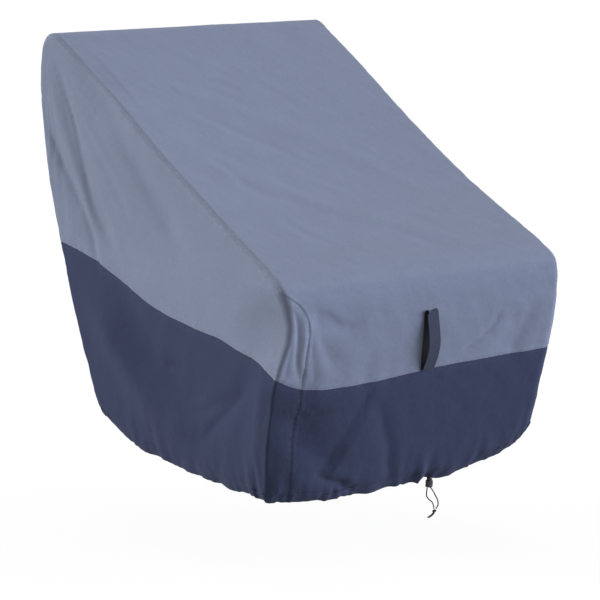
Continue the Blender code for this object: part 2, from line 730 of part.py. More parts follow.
def handle_strap(material):
    """A webbing loop that is sewn into the border seam: one layer flat on the front, one bowed out."""
    path = handle_path()
    along = np.gradient(path[:, :2], axis=0)
    along /= np.linalg.norm(along, axis=1)[:, None]
    across = np.stack([along[:, 1], -along[:, 0]], axis=-1) * HANDLE_THICKNESS / 2
    layers = []
    for offset in (across, -across):
        out, z = (path[:, :2] + offset).T
        edges = []
        for place in np.linspace(-0.5, 0.5, 4):
            x = HANDLE_X + path[:, 2] + place * HANDLE_WIDTH
            base = np.array([front_surface(HANDLE_X, height)[0][1] for height in z])
            edges.append(np.stack([x, base - out, z], axis=-1))
        layers.append(np.stack(edges, axis=1))
    count = layers[0].shape[0] * layers[0].shape[1]
    index = np.arange(count).reshape(layers[0].shape[:2])
    faces = []
    for row in range(index.shape[0] - 1):
        for col in range(index.shape[1] - 1):
            quad = [index[row, col], index[row, col + 1], index[row + 1, col + 1], index[row + 1, col]]
            faces.append([int(corner) for corner in quad])
            faces.append([int(corner) + count for corner in quad[::-1]])
    ring = [*index[0], *index[1:, -1], *index[-1, -2::-1], *index[-2:0:-1, 0]]
    for here, after in zip(ring, ring[1:] + ring[:1]):
        faces.append([int(after), int(here), int(here) + count, int(after) + count])
    points = list(layers[0].reshape(-1, 3)) + list(layers[1].reshape(-1, 3))
    return outward(add_mesh("handle_strap", points, faces, material))


def outward(node):
    """Turns a closed mesh's faces outward if they face in."""
    corners = np.array([vertex.co for vertex in node.data.vertices])
    volume = 0.0
    for polygon in node.data.polygons:
        ids = polygon.vertices
        for k in range(1, len(ids) - 1):
            volume += np.dot(corners[ids[0]], np.cross(corners[ids[k]], corners[ids[k + 1]]))
    if volume < 0:
        node.data.flip_normals()
    return node


def turned_solid(name, path, radii, squash, material, steps):
    """A closed solid of oval rings along a path, with a point at each end."""
    path = np.array(path, float)
    along = np.gradient(path, axis=0)
    along /= np.linalg.norm(along, axis=1)[:, None]
    side = np.cross(along, (0, 1, 0))
    side /= np.linalg.norm(side, axis=1)[:, None]
    deep = np.cross(side, along)
    angles = np.linspace(0, 2 * math.pi, steps, endpoint=False)
    points, faces = [], []
    for centre, across, back, radius in zip(path, side, deep, radii):
        for angle in angles:
            points.append(centre + radius * (math.cos(angle) * across + squash * math.sin(angle) * back))
    for ring in range(len(path) - 1):
        for step in range(steps):
            after = (step + 1) % steps
            low, high = ring * steps, (ring + 1) * steps
            faces.append([low + step, low + after, high + after, high + step])
    last = (len(path) - 1) * steps
    faces.append(list(range(steps))[::-1])
    faces.append([last + step for step in range(steps)])
    return outward(add_mesh(name, points, faces, material))


def lock_point(across, up):
    """A point of the cord lock from its own centre, with its lean."""
    x, y, z = LOCK_PLACE
    cos, sin = math.cos(LOCK_LEAN), math.sin(LOCK_LEAN)
    return (x + across * cos - up * sin, y, z + across * sin + up * cos)


def cord_lock(material):
    """A barrel cord lock: a rounded body with its spring button on top, as one solid."""
    outline = [
        # up, radius
        (LOCK_BOTTOM, 0.0068),
        (-0.0104, 0.0079),
        (-0.0090, 0.0084),
        (0.0030, 0.0083),
        (0.0046, 0.0074),
        (0.0052, 0.0062),
        (0.0090, 0.0062),
        (0.0102, 0.0050),
        (0.0108, 0.0030),
    ]
    path = [lock_point(0, up) for up, _ in outline]
    return turned_solid("cord_lock", path, column(outline, 1), 0.8, material, LOCK_STEPS)


def cord(name, route, material):
    """A hanging length of round cord through the route's points."""
    route = np.array(route)
    lengths = np.concatenate([[0], np.cumsum(np.linalg.norm(np.diff(route, axis=0), axis=1))])
    count = max(6, int(lengths[-1] / (CORD_DIAMETER * 1.6)))
    at = np.linspace(0, lengths[-1], count)
    path = np.stack([smooth_read(at, lengths, route[:, axis]) for axis in range(3)], axis=-1)
    curve = bpy.data.curves.new(name, "CURVE")
    curve.dimensions = "3D"
    curve.bevel_depth = CORD_DIAMETER / 2
    curve.bevel_resolution = 2
    curve.use_fill_caps = True
    spline = curve.splines.new("POLY")
    spline.points.add(len(path) - 1)
    for point, place in zip(spline.points, path):
        point.co = (*map(float, place), 1)
    curve.materials.append(material)
    node = bpy.data.objects.new(name, curve)
    bpy.context.scene.collection.objects.link(node)
    return node


def cords_and_knot(cord_material):
    """Two strands leave the lock's lower end and meet in a knot, which has a short double tail."""
    knot = np.array(KNOT_PLACE)
    left_exit = np.array(lock_point(-CORD_EXIT, LOCK_BOTTOM - 3 * GAP))
    right_exit = np.array(lock_point(CORD_EXIT, LOCK_BOTTOM - 3 * GAP))
    left = [left_exit, (0.0578, -0.7835, -0.9225), (0.0572, -0.7840, -0.9300), (0.0627, -0.7840, -0.9380)]
    left += [(0.0726, -0.7838, -0.9465), (0.0772, -0.7834, -0.9560), knot + (-0.0012, 0.0, 0.0052)]
    right = [right_exit, (0.0762, -0.7825, -0.9235), (0.0835, -0.7820, -0.9350), (0.0890, -0.7820, -0.9445)]
    right += [(0.0898, -0.7824, -0.9555), knot + (0.0046, 0.0, 0.0040)]
    cord("drawcord_left", left, cord_material)
    cord("drawcord_right", right, cord_material)
    shape = [
        # across, down, radius
        (0.0014, -0.0030, 0.0020),
        (0.0009, -0.0022, 0.0035),
        (0.0000, 0.0000, 0.0045),
        (-0.0020, 0.0030, 0.0040),
        (-0.0040, 0.0058, 0.0028),
        (-0.0068, 0.0080, 0.0025),
        (-0.0112, 0.0096, 0.0024),
        (-0.0160, 0.0108, 0.0023),
        (-0.0180, 0.0114, 0.0016),
    ]
    path = [knot + (across, 0, -down) for across, down, _ in shape]
    turned_solid("cord_knot", path, column(shape, 2), 0.85, cord_material, 12)


def build():
    for node in list(bpy.data.objects):
        bpy.data.objects.remove(node, do_unlink=True)
    pale = finish_of("pale_cloth", (0.215, 0.255, 0.335), 0.8)
    dark = finish_of("dark_cloth", (0.048, 0.058, 0.105), 0.8)
    webbing = finish_of("webbing", (0.050, 0.062, 0.100), 0.75)
    plastic = finish_of("lock_plastic", (0.012, 0.012, 0.014), 0.45)
    black_cord = finish_of("black_cord", (0.020, 0.020, 0.022), 0.8)
    strip_panels(pale, dark)
    side_panels(-1.0, pale, dark)
    side_panels(1.0, pale, dark)
    handle_strap(webbing)
    cord_lock(plastic)
    cords_and_knot(black_cord)


build()
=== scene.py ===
import math

import bpy
import numpy as np
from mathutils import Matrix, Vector


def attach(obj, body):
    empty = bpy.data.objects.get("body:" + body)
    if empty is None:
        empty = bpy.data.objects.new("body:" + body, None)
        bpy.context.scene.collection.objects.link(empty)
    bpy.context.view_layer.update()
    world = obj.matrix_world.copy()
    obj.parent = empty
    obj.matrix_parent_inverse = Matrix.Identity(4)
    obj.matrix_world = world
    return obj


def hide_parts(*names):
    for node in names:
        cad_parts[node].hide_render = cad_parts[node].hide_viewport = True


# Looks of the fitted patio chair cover. Metres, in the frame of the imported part:
# +X right for someone who faces the front, the front faces -Y, +Z up, origin just under the ridge.

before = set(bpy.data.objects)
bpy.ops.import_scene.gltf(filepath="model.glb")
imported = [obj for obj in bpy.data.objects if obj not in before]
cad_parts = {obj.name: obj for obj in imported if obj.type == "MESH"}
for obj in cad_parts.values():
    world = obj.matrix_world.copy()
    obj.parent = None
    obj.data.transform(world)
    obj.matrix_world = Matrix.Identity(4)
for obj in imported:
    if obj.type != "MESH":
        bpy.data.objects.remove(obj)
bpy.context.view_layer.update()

FLOOR_Z = -1.06
THICKNESS = 0.0008
# How far a panel runs on under the next one at a seam, and the step that it makes there.
LAP = 0.0040
LAP_STEP = 0.0005
LAP_FADE = (0.005, 0.016)
# The hem: the turn of its fold, the rows of its inner layer, and the height of the casing's stitching.
FOLD_RADIUS = 0.0022
FOLD_STEPS = 8
HEM_TURN_HEIGHTS = (0.004, 0.008, 0.012, 0.016, 0.020)
CASING = 0.021
# Stands for the height above the hem in a panel that has no hem.
NO_HEM = 1.0

# ---------------------------------------------------------------- the cover's plain surface

# The outline from the rear hem, over the ridge and down the slope, to the front hem.
PROFILE = [
    # station, y, z_left, z_right, radius_left, radius_right
    ("below the rear hem", -0.176, -0.895, -0.895, 0.022, 0.022),
    ("rear hem", -0.152, -0.83, -0.83, 0.022, 0.022),
    ("rear leg", -0.126, -0.762, -0.762, 0.022, 0.022),
    ("rear leg top", -0.104, -0.7, -0.7, 0.022, 0.022),
    ("seat back", -0.08, -0.63, -0.63, 0.022, 0.022),
    ("border", -0.042, -0.5, -0.5, 0.02, 0.02),
    ("back low", -0.011, -0.425, -0.425, 0.02, 0.02),
    ("back middle", 0.019, -0.325, -0.325, 0.02, 0.02),
    ("back high", 0.039, -0.24, -0.24, 0.02, 0.02),
    ("back top", 0.05, -0.16, -0.16, 0.02, 0.02),
    ("below the ridge", 0.052, -0.09, -0.09, 0.019, 0.019),
    ("ridge rear", 0.046, -0.042, -0.042, 0.018, 0.018),
    ("ridge turn", 0.034, -0.015, -0.015, 0.016, 0.016),
    ("ridge back", 0.014, 0.001, 0.001, 0.013, 0.013),
    ("ridge", -0.007, 0.005, 0.005, 0.012, 0.012),
    ("ridge front", -0.026, 0.0, 0.0, 0.012, 0.012),
    ("slope start", -0.05, -0.012, -0.013, 0.015, 0.015),
    ("slope top", -0.093, -0.033, -0.037, 0.015, 0.015),
    ("shoulder", -0.241, -0.112, -0.126, 0.015, 0.015),
    ("upper slope", -0.315, -0.156, -0.172, 0.015, 0.015),
    ("middle slope", -0.411, -0.213, -0.229, 0.015, 0.015),
    ("lower slope", -0.544, -0.283, -0.302, 0.015, 0.015),
    ("above the arms", -0.673, -0.351, -0.363, 0.015, 0.015),
    ("slope end", -0.745, -0.388, -0.395, 0.015, 0.015),
    ("before the lip", -0.8, -0.416, -0.421, 0.016, 0.016),
    ("lip top", -0.828, -0.431, -0.437, 0.017, 0.017),
    ("lip", -0.842, -0.446, -0.451, 0.018, 0.018),
    ("lip front", -0.848, -0.467, -0.471, 0.02, 0.02),
    ("front top", -0.85, -0.51, -0.512, 0.015, 0.022),
    ("front upper", -0.846, -0.575, -0.575, 0.011, 0.028),
    ("front border", -0.838, -0.64, -0.64, 0.006, 0.034),
    ("front middle", -0.825, -0.71, -0.71, 0.005, 0.038),
    ("front low", -0.809, -0.78, -0.78, 0.005, 0.038),
    ("front leg", -0.793, -0.845, -0.845, 0.006, 0.036),
    ("front hem", -0.774, -0.905, -0.905, 0.011, 0.038),
    ("below the front hem", -0.762, -0.945, -0.945, 0.011, 0.038),
]
HALF_WIDTH = 0.36
HALF_WIDTHS = [
    # z, half width
    (-0.95, 0.328), (-0.905, 0.333), (-0.845, 0.342), (-0.77, 0.351), (-0.7, 0.356), (-0.63, 0.361),
    (-0.56, 0.366), (-0.4, 0.365), (0.02, 0.364),
]
# On the front the seam lies this far in from each side. Elsewhere it is a share of the edge's radius.
FRONT_SEAM_INSETS = [
    # z, inset on the left, inset on the right
    (-0.935, 0.049, 0.006), (-0.855, 0.05, 0.006), (-0.8, 0.053, 0.006), (-0.74, 0.057, 0.006),
    (-0.7, 0.059, 0.006), (-0.655, 0.06, 0.006), (-0.59, 0.063, 0.006), (-0.515, 0.062, 0.006),
    (-0.48, 0.04, 0.006), (-0.452, 0.007, 0.006), (-0.43, 0.006, 0.006),
]
SEAM_INSET = 0.29
# Below the lip the front is drawn back toward its left corner: how far, at the corner. It comes on
# by a power of the distance across as far as the knee, then evenly.
CORNER_EASE = [
    # z, distance
    (-0.945, 0.034), (-0.905, 0.043), (-0.875, 0.05), (-0.84, 0.051), (-0.79, 0.05), (-0.75, 0.045),
    (-0.71, 0.04), (-0.67, 0.03), (-0.63, 0.015), (-0.59, 0.006), (-0.56, 0.001), (-0.5, 0.0),
    (-0.4, 0.0),
]
EASE_START_X = -0.16
EASE_WIDTH = 0.20
EASE_POWER = 3.0
EASE_KNEE = 0.66
EASE_DEPTH = 0.12
# How far the side is drawn in at that corner, toward the middle.
CORNER_PINCH = [
    # z, distance
    (-0.94, 0.0), (-0.86, 0.0), (-0.78, -0.001), (-0.7, -0.003), (-0.64, -0.006), (-0.6, 0.001),
    (-0.57, 0.01), (-0.54, 0.017), (-0.51, 0.018), (-0.48, 0.01), (-0.45, 0.0), (-0.4, 0.0),
]
PINCH_START_X = -0.285
PINCH_WIDTH = 0.070
PINCH_DEPTH = 0.16
FRONT_BORDER = [
    # x, z
    (-0.36, -0.626), (-0.338, -0.637), (-0.318, -0.646), (-0.3, -0.652), (-0.262, -0.657),
    (-0.19, -0.658), (-0.116, -0.656), (-0.03, -0.65), (0.049, -0.645), (0.178, -0.642),
    (0.242, -0.641), (0.3, -0.64), (0.36, -0.638),
]
SIDE_BORDER = [
    # fraction from the rear edge to the front edge, z on the left, z on the right
    (0.0, -0.455, -0.462), (0.09, -0.465, -0.471), (0.16, -0.477, -0.482), (0.3, -0.51, -0.515),
    (0.45, -0.544, -0.545), (0.6, -0.561, -0.569), (0.68, -0.567, -0.581), (0.75, -0.571, -0.595),
    (0.82, -0.583, -0.605), (0.89, -0.593, -0.616), (0.93, -0.601, -0.626), (0.965, -0.611, -0.632),
    (1.0, -0.622, -0.638),
]
BACK_BORDER = [
    # x, z
    (-0.36, -0.455), (-0.18, -0.465), (0.06, -0.463), (0.22, -0.468), (0.36, -0.462),
]
FRONT_HEM = [
    # x, z
    (-0.345, -0.897), (-0.281, -0.901), (-0.22, -0.905), (-0.13, -0.908), (-0.06, -0.907),
    (-0.024, -0.903), (0.019, -0.9), (0.045, -0.899), (0.066, -0.901), (0.09, -0.904), (0.136, -0.9),
    (0.189, -0.889), (0.24, -0.877), (0.295, -0.857), (0.345, -0.826),
]
SIDE_HEM = [
    # fraction from the rear edge to the front edge, z on the left, z on the right
    (0.0, -0.82, -0.826), (0.05, -0.838, -0.84), (0.12, -0.858, -0.851), (0.21, -0.872, -0.858),
    (0.38, -0.88, -0.866), (0.5, -0.887, -0.863), (0.68, -0.892, -0.872), (0.76, -0.896, -0.866),
    (0.85, -0.893, -0.868), (0.93, -0.892, -0.853), (1.0, -0.897, -0.826),
]
BACK_HEM = [
    # x, z
    (-0.345, -0.822), (-0.22, -0.833), (-0.06, -0.827), (0.11, -0.836), (0.24, -0.828), (0.345, -0.828),
]
# How far out from the middle the border seam runs across the front and the back.
BORDER_REACH = 0.355

# The folds of the cloth solids. A negative depth is a ridge.
FOLDS = [
    # name, start, middle, end, width, depth
    ("left fan rear", (-0.36, 0.021, -0.2), (-0.36, -0.07, -0.32), (-0.36, -0.17, -0.47), 0.022, 0.006),
    ("left fan middle", (-0.36, -0.02, -0.06), (-0.36, -0.116, -0.26), (-0.36, -0.246, -0.45), 0.022, 0.006),
    ("left fan front", (-0.36, -0.11, -0.06), (-0.36, -0.312, -0.25), (-0.36, -0.517, -0.42), 0.034, 0.007),
    ("left fan crest", (-0.36, -0.01, -0.12), (-0.36, -0.092, -0.27), (-0.36, -0.205, -0.45), 0.018, -0.004),
    ("left swag", (-0.36, -0.255, -0.53), (-0.36, -0.385, -0.655), (-0.35, -0.6, -0.715), 0.044, 0.014),
    ("left swag crest", (-0.36, -0.15, -0.56), (-0.35, -0.275, -0.69), (-0.34, -0.43, -0.8), 0.042, -0.01),
    ("left low swag", (-0.36, -0.73, -0.64), (-0.35, -0.655, -0.712), (-0.34, -0.545, -0.805), 0.026, 0.005),
    ("left front crest", (-0.36, -0.8, -0.62), (-0.35, -0.78, -0.74), (-0.34, -0.735, -0.86), 0.028, -0.003),
    ("corner pleat", (-0.344, -0.84, -0.48), (-0.326, -0.84, -0.57), (-0.302, -0.83, -0.64), 0.012, 0.003),
    ("corner crest", (-0.318, -0.84, -0.5), (-0.313, -0.84, -0.57), (-0.306, -0.84, -0.62), 0.01, -0.002),
    ("front left dip", (-0.286, -0.82, -0.72), (-0.244, -0.81, -0.785), (-0.17, -0.79, -0.838), 0.03, 0.003),
    ("front middle dip", (-0.095, -0.82, -0.71), (-0.062, -0.8, -0.8), (-0.042, -0.78, -0.88), 0.018, 0.002),
    ("front hem dip", (-0.28, -0.79, -0.83), (-0.215, -0.78, -0.85), (-0.18, -0.77, -0.89), 0.018, 0.002),
    ("front crease", (-0.291, -0.84, -0.5), (-0.232, -0.84, -0.53), (-0.15, -0.84, -0.52), 0.02, 0.004),
    ("front slant", (-0.268, -0.84, -0.53), (-0.233, -0.84, -0.59), (-0.198, -0.84, -0.63), 0.02, 0.002),
    ("front right slant", (0.24, -0.84, -0.56), (0.23, -0.84, -0.595), (0.2, -0.84, -0.632), 0.018, 0.003),
    ("right corner fold", (0.295, -0.84, -0.54), (0.258, -0.84, -0.6), (0.226, -0.83, -0.65), 0.02, 0.003),
    ("slope upper pull", (-0.25, -0.2, -0.1), (0.02, -0.36, -0.19), (0.24, -0.62, -0.34), 0.03, -0.002),
    ("slope lower pull", (-0.3, -0.42, -0.22), (-0.08, -0.6, -0.32), (0.2, -0.78, -0.41), 0.03, -0.002),
    ("right fan rear", (0.36, 0.015, -0.18), (0.36, -0.09, -0.31), (0.36, -0.19, -0.46), 0.026, 0.008),
    ("right fan front", (0.36, -0.08, -0.08), (0.36, -0.25, -0.26), (0.36, -0.43, -0.43), 0.034, 0.009),
    ("right swag", (0.36, -0.13, -0.6), (0.35, -0.33, -0.75), (0.35, -0.64, -0.72), 0.036, 0.009),
    ("right front swag", (0.36, -0.7, -0.66), (0.35, -0.64, -0.76), (0.34, -0.54, -0.81), 0.028, 0.006),
    ("back left swag", (-0.28, 0.03, -0.18), (-0.1, 0.0, -0.36), (0.06, -0.02, -0.42), 0.036, 0.007),
    ("back right swag", (0.27, 0.03, -0.22), (0.12, 0.0, -0.38), (-0.02, -0.05, -0.52), 0.036, 0.007),
    ("back hem dip left", (-0.16, -0.08, -0.6), (-0.15, -0.12, -0.7), (-0.18, -0.16, -0.81), 0.03, 0.007),
    ("back hem dip right", (0.19, -0.08, -0.58), (0.16, -0.12, -0.7), (0.17, -0.16, -0.81), 0.03, 0.007),
]
SLOPE_SAG = 0.008
SLOPE_START_Y = -0.03
SLOPE_REACH = 0.78
SLOPE_LOWEST = -0.50
SIDE_SAG = 0.006
SIDE_SAG_CENTRE = (-0.32, -0.42)
SIDE_SAG_REACH = (0.20, 0.13)
HEM_CURL = 0.008
HEM_CURL_HEIGHT = 0.040
HEM_WAVE = 0.0022
HEM_WAVE_LENGTH = 0.105
HEM_CENTRE_Y = -0.47
HEM_MEAN_RADIUS = 0.42

BACK_ROWS = 80
SLOPE_ROWS = 170
LOWER_ROWS = 64
WRAP_COLUMNS = 24
STRIP_COLUMNS = 104
# The last share of the strip's half width, over its rounded edge, has its own columns.
EDGE_SHARE = 0.925
EDGE_COLUMNS = 12

# The wrinkles: how deep each kind is, which way the slope's long pulls run, where the sides' fan
# spreads from, and where the crumples low down begin.
SLOPE_WRINKLE = 0.0005
FAN_WRINKLE = 0.0016
DRAPE_WRINKLE = 0.0012
FRONT_WRINKLE = 0.0006
CRUMPLE = 0.00030
PULL_ALONG = (0.575, -0.72, -0.386)
PULL_ACROSS = (0.82, 0.50, 0.28)
FAN_CENTRE = (0.02, -0.01)
LOW_START = -0.44
LOW_DEPTH = 0.16
SMALL_GATHER = 0.0034
LARGE_GATHER = 0.0038
SMALL_LIFT = 0.0020
LARGE_LIFT = 0.0026
# The hem is gathered more at the left corner, and a little more at the cord lock.
GATHERED_MORE = ((-0.335, -0.77, -0.88), (0.075, -0.78, -0.90))
GATHERED_REACH = 0.07

SIDE_PANELS = ("side_upper", "side_lower")
LOWER_PANELS = ("side_lower", "strip_lower")
ALLOWANCE_RISE = 0.0003
ALLOWANCE_PLACE = 0.0045
ALLOWANCE_FADE = (0.002, 0.005)
GROOVE = 0.0005
GROOVE_WIDTH = 0.0022
SMALL_PUCKER = 0.0009
LARGE_PUCKER = 0.0010
CASING_GROOVE = 0.0007
HEM_ROLL = 0.0011
HEM_ROLL_HEIGHT = 0.009
HEM_ROLL_WIDTH = 0.008
# The lines of the finished seams. They are filled in when the side panels' edges are known.
SEAMS = {}

STITCH = 0.0030
STITCH_GAP = 0.0012
STITCH_RADIUS = 0.00030
STITCH_TAPER = (0.7, 1, 1, 1, 0.7)
STITCH_RISE = (-0.0002, 0.00015, 0.00022, 0.00015, -0.0002)
STITCH_INSET = 0.0065
SEAM_END_BACK = -0.455
SEAM_END_FRONT = -0.652
BORDER_STITCH_REACH = 0.30

HANDLE_X = 0.011
HANDLE_WIDTH = 0.030
HANDLE_BACK_SHIFT = -0.003
HANDLE_TOP = -0.526
HANDLE_BOTTOM = -0.6465
HANDLE_BOW = 0.0135
HANDLE_THICKNESS = 0.0017
# How far out from the front the loop's two layers lie, and where the front one leaves the turn.
BACK_LAYER_OUT = 0.0016
FRONT_LAYER_OUT = 0.0056
FRONT_LAYER_IN = 0.0012
TURN_DROP = 0.0006
HANDLE_TURN = [
    # distance out, height over the top, share of the sideways shift
    (0.0021, 0.0017, 0.90), (0.0030, 0.0026, 0.65), (0.0041, 0.0026, 0.45), (0.0050, 0.0017, 0.25),
]
LAYER_POINTS = 24
SELVEDGE_WIDTH = 0.0035
SELVEDGE = [
    # inset from the webbing's edge, share of half its thickness
    (0.0022, 0.92), (0.0014, 1.0), (0.0006, 0.85), (0.0, 0.0),
    (0.0006, -0.85), (0.0014, -1.0), (0.0022, -0.92),
]

LOCK_PLACE = (0.0650, -0.7830, -0.9020)
LOCK_LEAN = math.radians(-4.0)
LOCK_BOTTOM = -0.0110
LOCK_HOLE = 0.0046
LOCK_SQUASH = 0.8
LOCK_STEPS = 72
LOCK_BODY = [
    # up, radius, ribbed
    (-0.0110, 0.0052, 0), (-0.0110, 0.0066, 0), (-0.0106, 0.0074, 0), (-0.0098, 0.0080, 0),
    (-0.0088, 0.0083, 0), (-0.0078, 0.0084, 0), (-0.0072, 0.0083, 0.3), (-0.0064, 0.0084, 1),
    (-0.0040, 0.0085, 1), (-0.0010, 0.0085, 1), (0.0010, 0.0084, 1), (0.0018, 0.0082, 0.3),
    (0.0024, 0.0084, 0), (0.0034, 0.0083, 0), (0.0044, 0.0077, 0), (0.0048, 0.0068, 0),
    (0.0048, 0.0061, 0), (0.0042, 0.0058, 0),
]
LOCK_BUTTON = [
    # up, radius, ribbed
    (0.0030, 0.0054, 0), (0.0056, 0.0056, 0), (0.0060, 0.0060, 0), (0.0066, 0.0062, 0.6),
    (0.0086, 0.0062, 0.6), (0.0092, 0.0061, 0), (0.0099, 0.0056, 0), (0.0104, 0.0046, 0),
    (0.0107, 0.0030, 0), (0.0108, 0.0012, 0),
]
CORD_DIAMETER = 0.0026
CORD_RADIUS = CORD_DIAMETER / 2
CORD_GAP = 0.0012
LEFT_CORD = [
    (0.0578, -0.7835, -0.9225), (0.0572, -0.7840, -0.9300), (0.0627, -0.7840, -0.9380),
    (0.0726, -0.7838, -0.9465), (0.0772, -0.7834, -0.9560),
]
RIGHT_CORD = [
    (0.0762, -0.7825, -0.9235), (0.0835, -0.7820, -0.9350), (0.0890, -0.7820, -0.9445),
    (0.0898, -0.7824, -0.9555),
]
KNOT_PLACE = np.array((0.0793, -0.7830, -0.9665))
KNOT_SIZE = 0.00115
KNOT_TAIL = [
    (-0.0010, 0.0, -0.0020), (-0.0040, 0.0005, -0.0052), (-0.0075, 0.0006, -0.0076),
    (-0.0115, 0.0004, -0.0092), (-0.0152, 0.0001, -0.0104), (-0.0176, 0.0, -0.0112),
]

THREAD_PITCH = 0.0011
BRAID_PITCH = 0.0011

CAMERA_PLACE = (-3.376, -4.9309, 0.4316)
CAMERA_DOWN = 9.99
CAMERA_ROUND = 36.81
CAMERA_LENS = 159.05
FLOOR_REACH = 40
FLOOR_GLOW = 0.93
WORLD_LIGHT = 0.33
LIGHTS = [
    # name, direction toward the light, strength, angle that it fills in degrees, colour
    ("key", (-0.74, 0.58, 0.28), 2.68, 16, (1.0, 1.0, 0.99)),
    ("front", (0.838, -0.519, 0.169), 4.30, 45, (0.97, 1.0, 1.11)),
    ("top", (0.05, 0.10, 1.0), 0.64, 40, (1.0, 1.0, 0.80)),
]


def column(table, index):
    return np.array([row[index] for row in table], float)


def smooth_read(at, stations, values):
    """Reads a smooth curve that passes through the values."""
    at = np.clip(np.asarray(at, float), stations[0], stations[-1])
    steps = np.diff(stations)
    slopes = np.diff(values) / steps
    tangents = np.empty(len(values))
    tangents[0] = slopes[0]
    tangents[-1] = slopes[-1]
    tangents[1:-1] = (slopes[:-1] * steps[1:] + slopes[1:] * steps[:-1]) / (steps[1:] + steps[:-1])
    place = np.clip(np.searchsorted(stations, at, side="right") - 1, 0, len(steps) - 1)
    rise = steps[place]
    part = (at - stations[place]) / rise
    return (
        values[place] * (1 + 2 * part) * (1 - part) ** 2
        + tangents[place] * rise * part * (1 - part) ** 2
        + values[place + 1] * part**2 * (3 - 2 * part)
        + tangents[place + 1] * rise * part**2 * (part - 1)
    )


def read(table, at, index=1):
    """Reads one column of a table at places given in its first column."""
    return smooth_read(at, column(table, 0), column(table, index))


def stacked(*parts):
    """Points from separate coordinates, any of which may be one number."""
    return np.stack(np.broadcast_arrays(*parts), axis=-1)


def unit(vectors):
    return vectors / np.linalg.norm(vectors, axis=-1)[..., None]


def lengths_along(points):
    """The distance from the first point to each point, along the line through them all."""
    return np.concatenate([[0], np.cumsum(np.linalg.norm(np.diff(points, axis=0), axis=1))])


STATIONS = [row[0] for row in PROFILE]
Y, Z_LEFT, Z_RIGHT, RADIUS_LEFT, RADIUS_RIGHT = (column(PROFILE, index) for index in range(1, 6))
Z_MIDDLE = (Z_LEFT + Z_RIGHT) / 2
RUN = np.concatenate([[0.0], np.cumsum(np.hypot(np.diff(Y), np.diff(Z_MIDDLE)))])
RIDGE_RUN = RUN[STATIONS.index("ridge")]
LIP_RUN = RUN[STATIONS.index("lip")]
FINE_RUN = np.linspace(0.0, RUN[-1], 4001)
FINE_Z = smooth_read(FINE_RUN, RUN, Z_MIDDLE)
NORMAL_STEP = 0.0015


def half_width(z):
    return read(HALF_WIDTHS, z)


def profile_point(run, side):
    """y and z on the outline. side is -1 at the left edge and 1 at the right edge."""
    left = smooth_read(run, RUN, Z_LEFT)
    right = smooth_read(run, RUN, Z_RIGHT)
    return smooth_read(run, RUN, Y), left + (right - left) * (side + 1) / 2


def profile_normal(run):
    """The outward direction in the plane of the outline."""
    low = np.clip(run - NORMAL_STEP, 0, RUN[-1])
    high = np.clip(run + NORMAL_STEP, 0, RUN[-1])
    along_y = smooth_read(high, RUN, Y) - smooth_read(low, RUN, Y)
    along_z = smooth_read(high, RUN, Z_MIDDLE) - smooth_read(low, RUN, Z_MIDDLE)
    length = np.hypot(along_y, along_z)
    return along_z / length, -along_y / length


def run_at_back(z):
    rear = FINE_RUN <= RIDGE_RUN
    return np.interp(z, FINE_Z[rear], FINE_RUN[rear])


def run_at_front(z):
    front = FINE_RUN >= LIP_RUN
    return np.interp(-np.asarray(z), -FINE_Z[front], FINE_RUN[front])


def edge_frame(run, side):
    """What the rounded edge between the strip and a side needs: radius, half width, point, normal."""
    left = smooth_read(run, RUN, RADIUS_LEFT)
    right = smooth_read(run, RUN, RADIUS_RIGHT)
    radius = np.where(np.asarray(side) < 0, left, right)
    normal_y, normal_z = profile_normal(run)
    y, z = profile_point(run, side)
    return radius, half_width(z - normal_z * radius), y, z, normal_y, normal_z


def on_section(run, across):
    """Points and outward normals at a signed distance across the surface from its centre line."""
    sign = np.where(across < 0, -1.0, 1.0)
    radius, width, y, z, normal_y, normal_z = edge_frame(run, np.clip(across / HALF_WIDTH, -1, 1))
    flat = width - radius
    beyond = np.maximum(np.abs(across) - flat, 0.0)
    turn = np.minimum(beyond / radius, math.pi / 2)
    x = sign * (np.minimum(np.abs(across), flat) + radius * np.sin(turn))
    depth = radius * (1 - np.cos(turn)) + np.maximum(beyond - radius * math.pi / 2, 0.0)
    points = stacked(x, y - normal_y * depth, z - normal_z * depth)
    return points, stacked(sign * np.sin(turn), normal_y * np.cos(turn), normal_z * np.cos(turn))


def seam_across(run, side):
    """How far from the centre line, along the surface, the seam between strip and side lies."""
    radius, width, _, z, _, _ = edge_frame(run, side)
    left, right = read(FRONT_SEAM_INSETS, z), read(FRONT_SEAM_INSETS, z, 2)
    inset = np.where(run > LIP_RUN, np.where(np.asarray(side) < 0, left, right), SEAM_INSET * radius)
    reach = np.clip((radius - inset) / radius, 0.0, 1.0)
    return np.where(inset < radius, width - radius + radius * np.arcsin(reach), width - inset)


def side_across(run, side):
    """The distance from the centre line at which the surface has turned into the side."""
    radius, width, _, _, _, _ = edge_frame(run, side)
    return width - radius + radius * math.pi / 2


def rising_shares():
    """Row places from a border up to the ridge or the lip, closer together near the top."""
    return (1 - (1 - np.linspace(0, 1, BACK_ROWS + 1)) ** 1.4)[:-1]


def slope_shares():
    """Row places down the slope, closer together at both ends."""
    even = np.linspace(0, 1, SLOPE_ROWS + 1)
    return even - 0.11 * np.sin(2 * math.pi * even)


def lower_shares():
    """Row places from the hem up to the border, closer together at the hem."""
    return np.linspace(0, 1, LOWER_ROWS + 1) ** 1.35


def strip_shares():
    """Column places across the strip, closer together over the rounded edges."""
    inner = EDGE_SHARE * (1 - (1 - np.linspace(0, 1, STRIP_COLUMNS // 2 + 1)) ** 1.25)
    half = np.concatenate([inner, np.linspace(EDGE_SHARE, 1, EDGE_COLUMNS + 1)[1:]])
    return np.concatenate([-half[:0:-1], half])


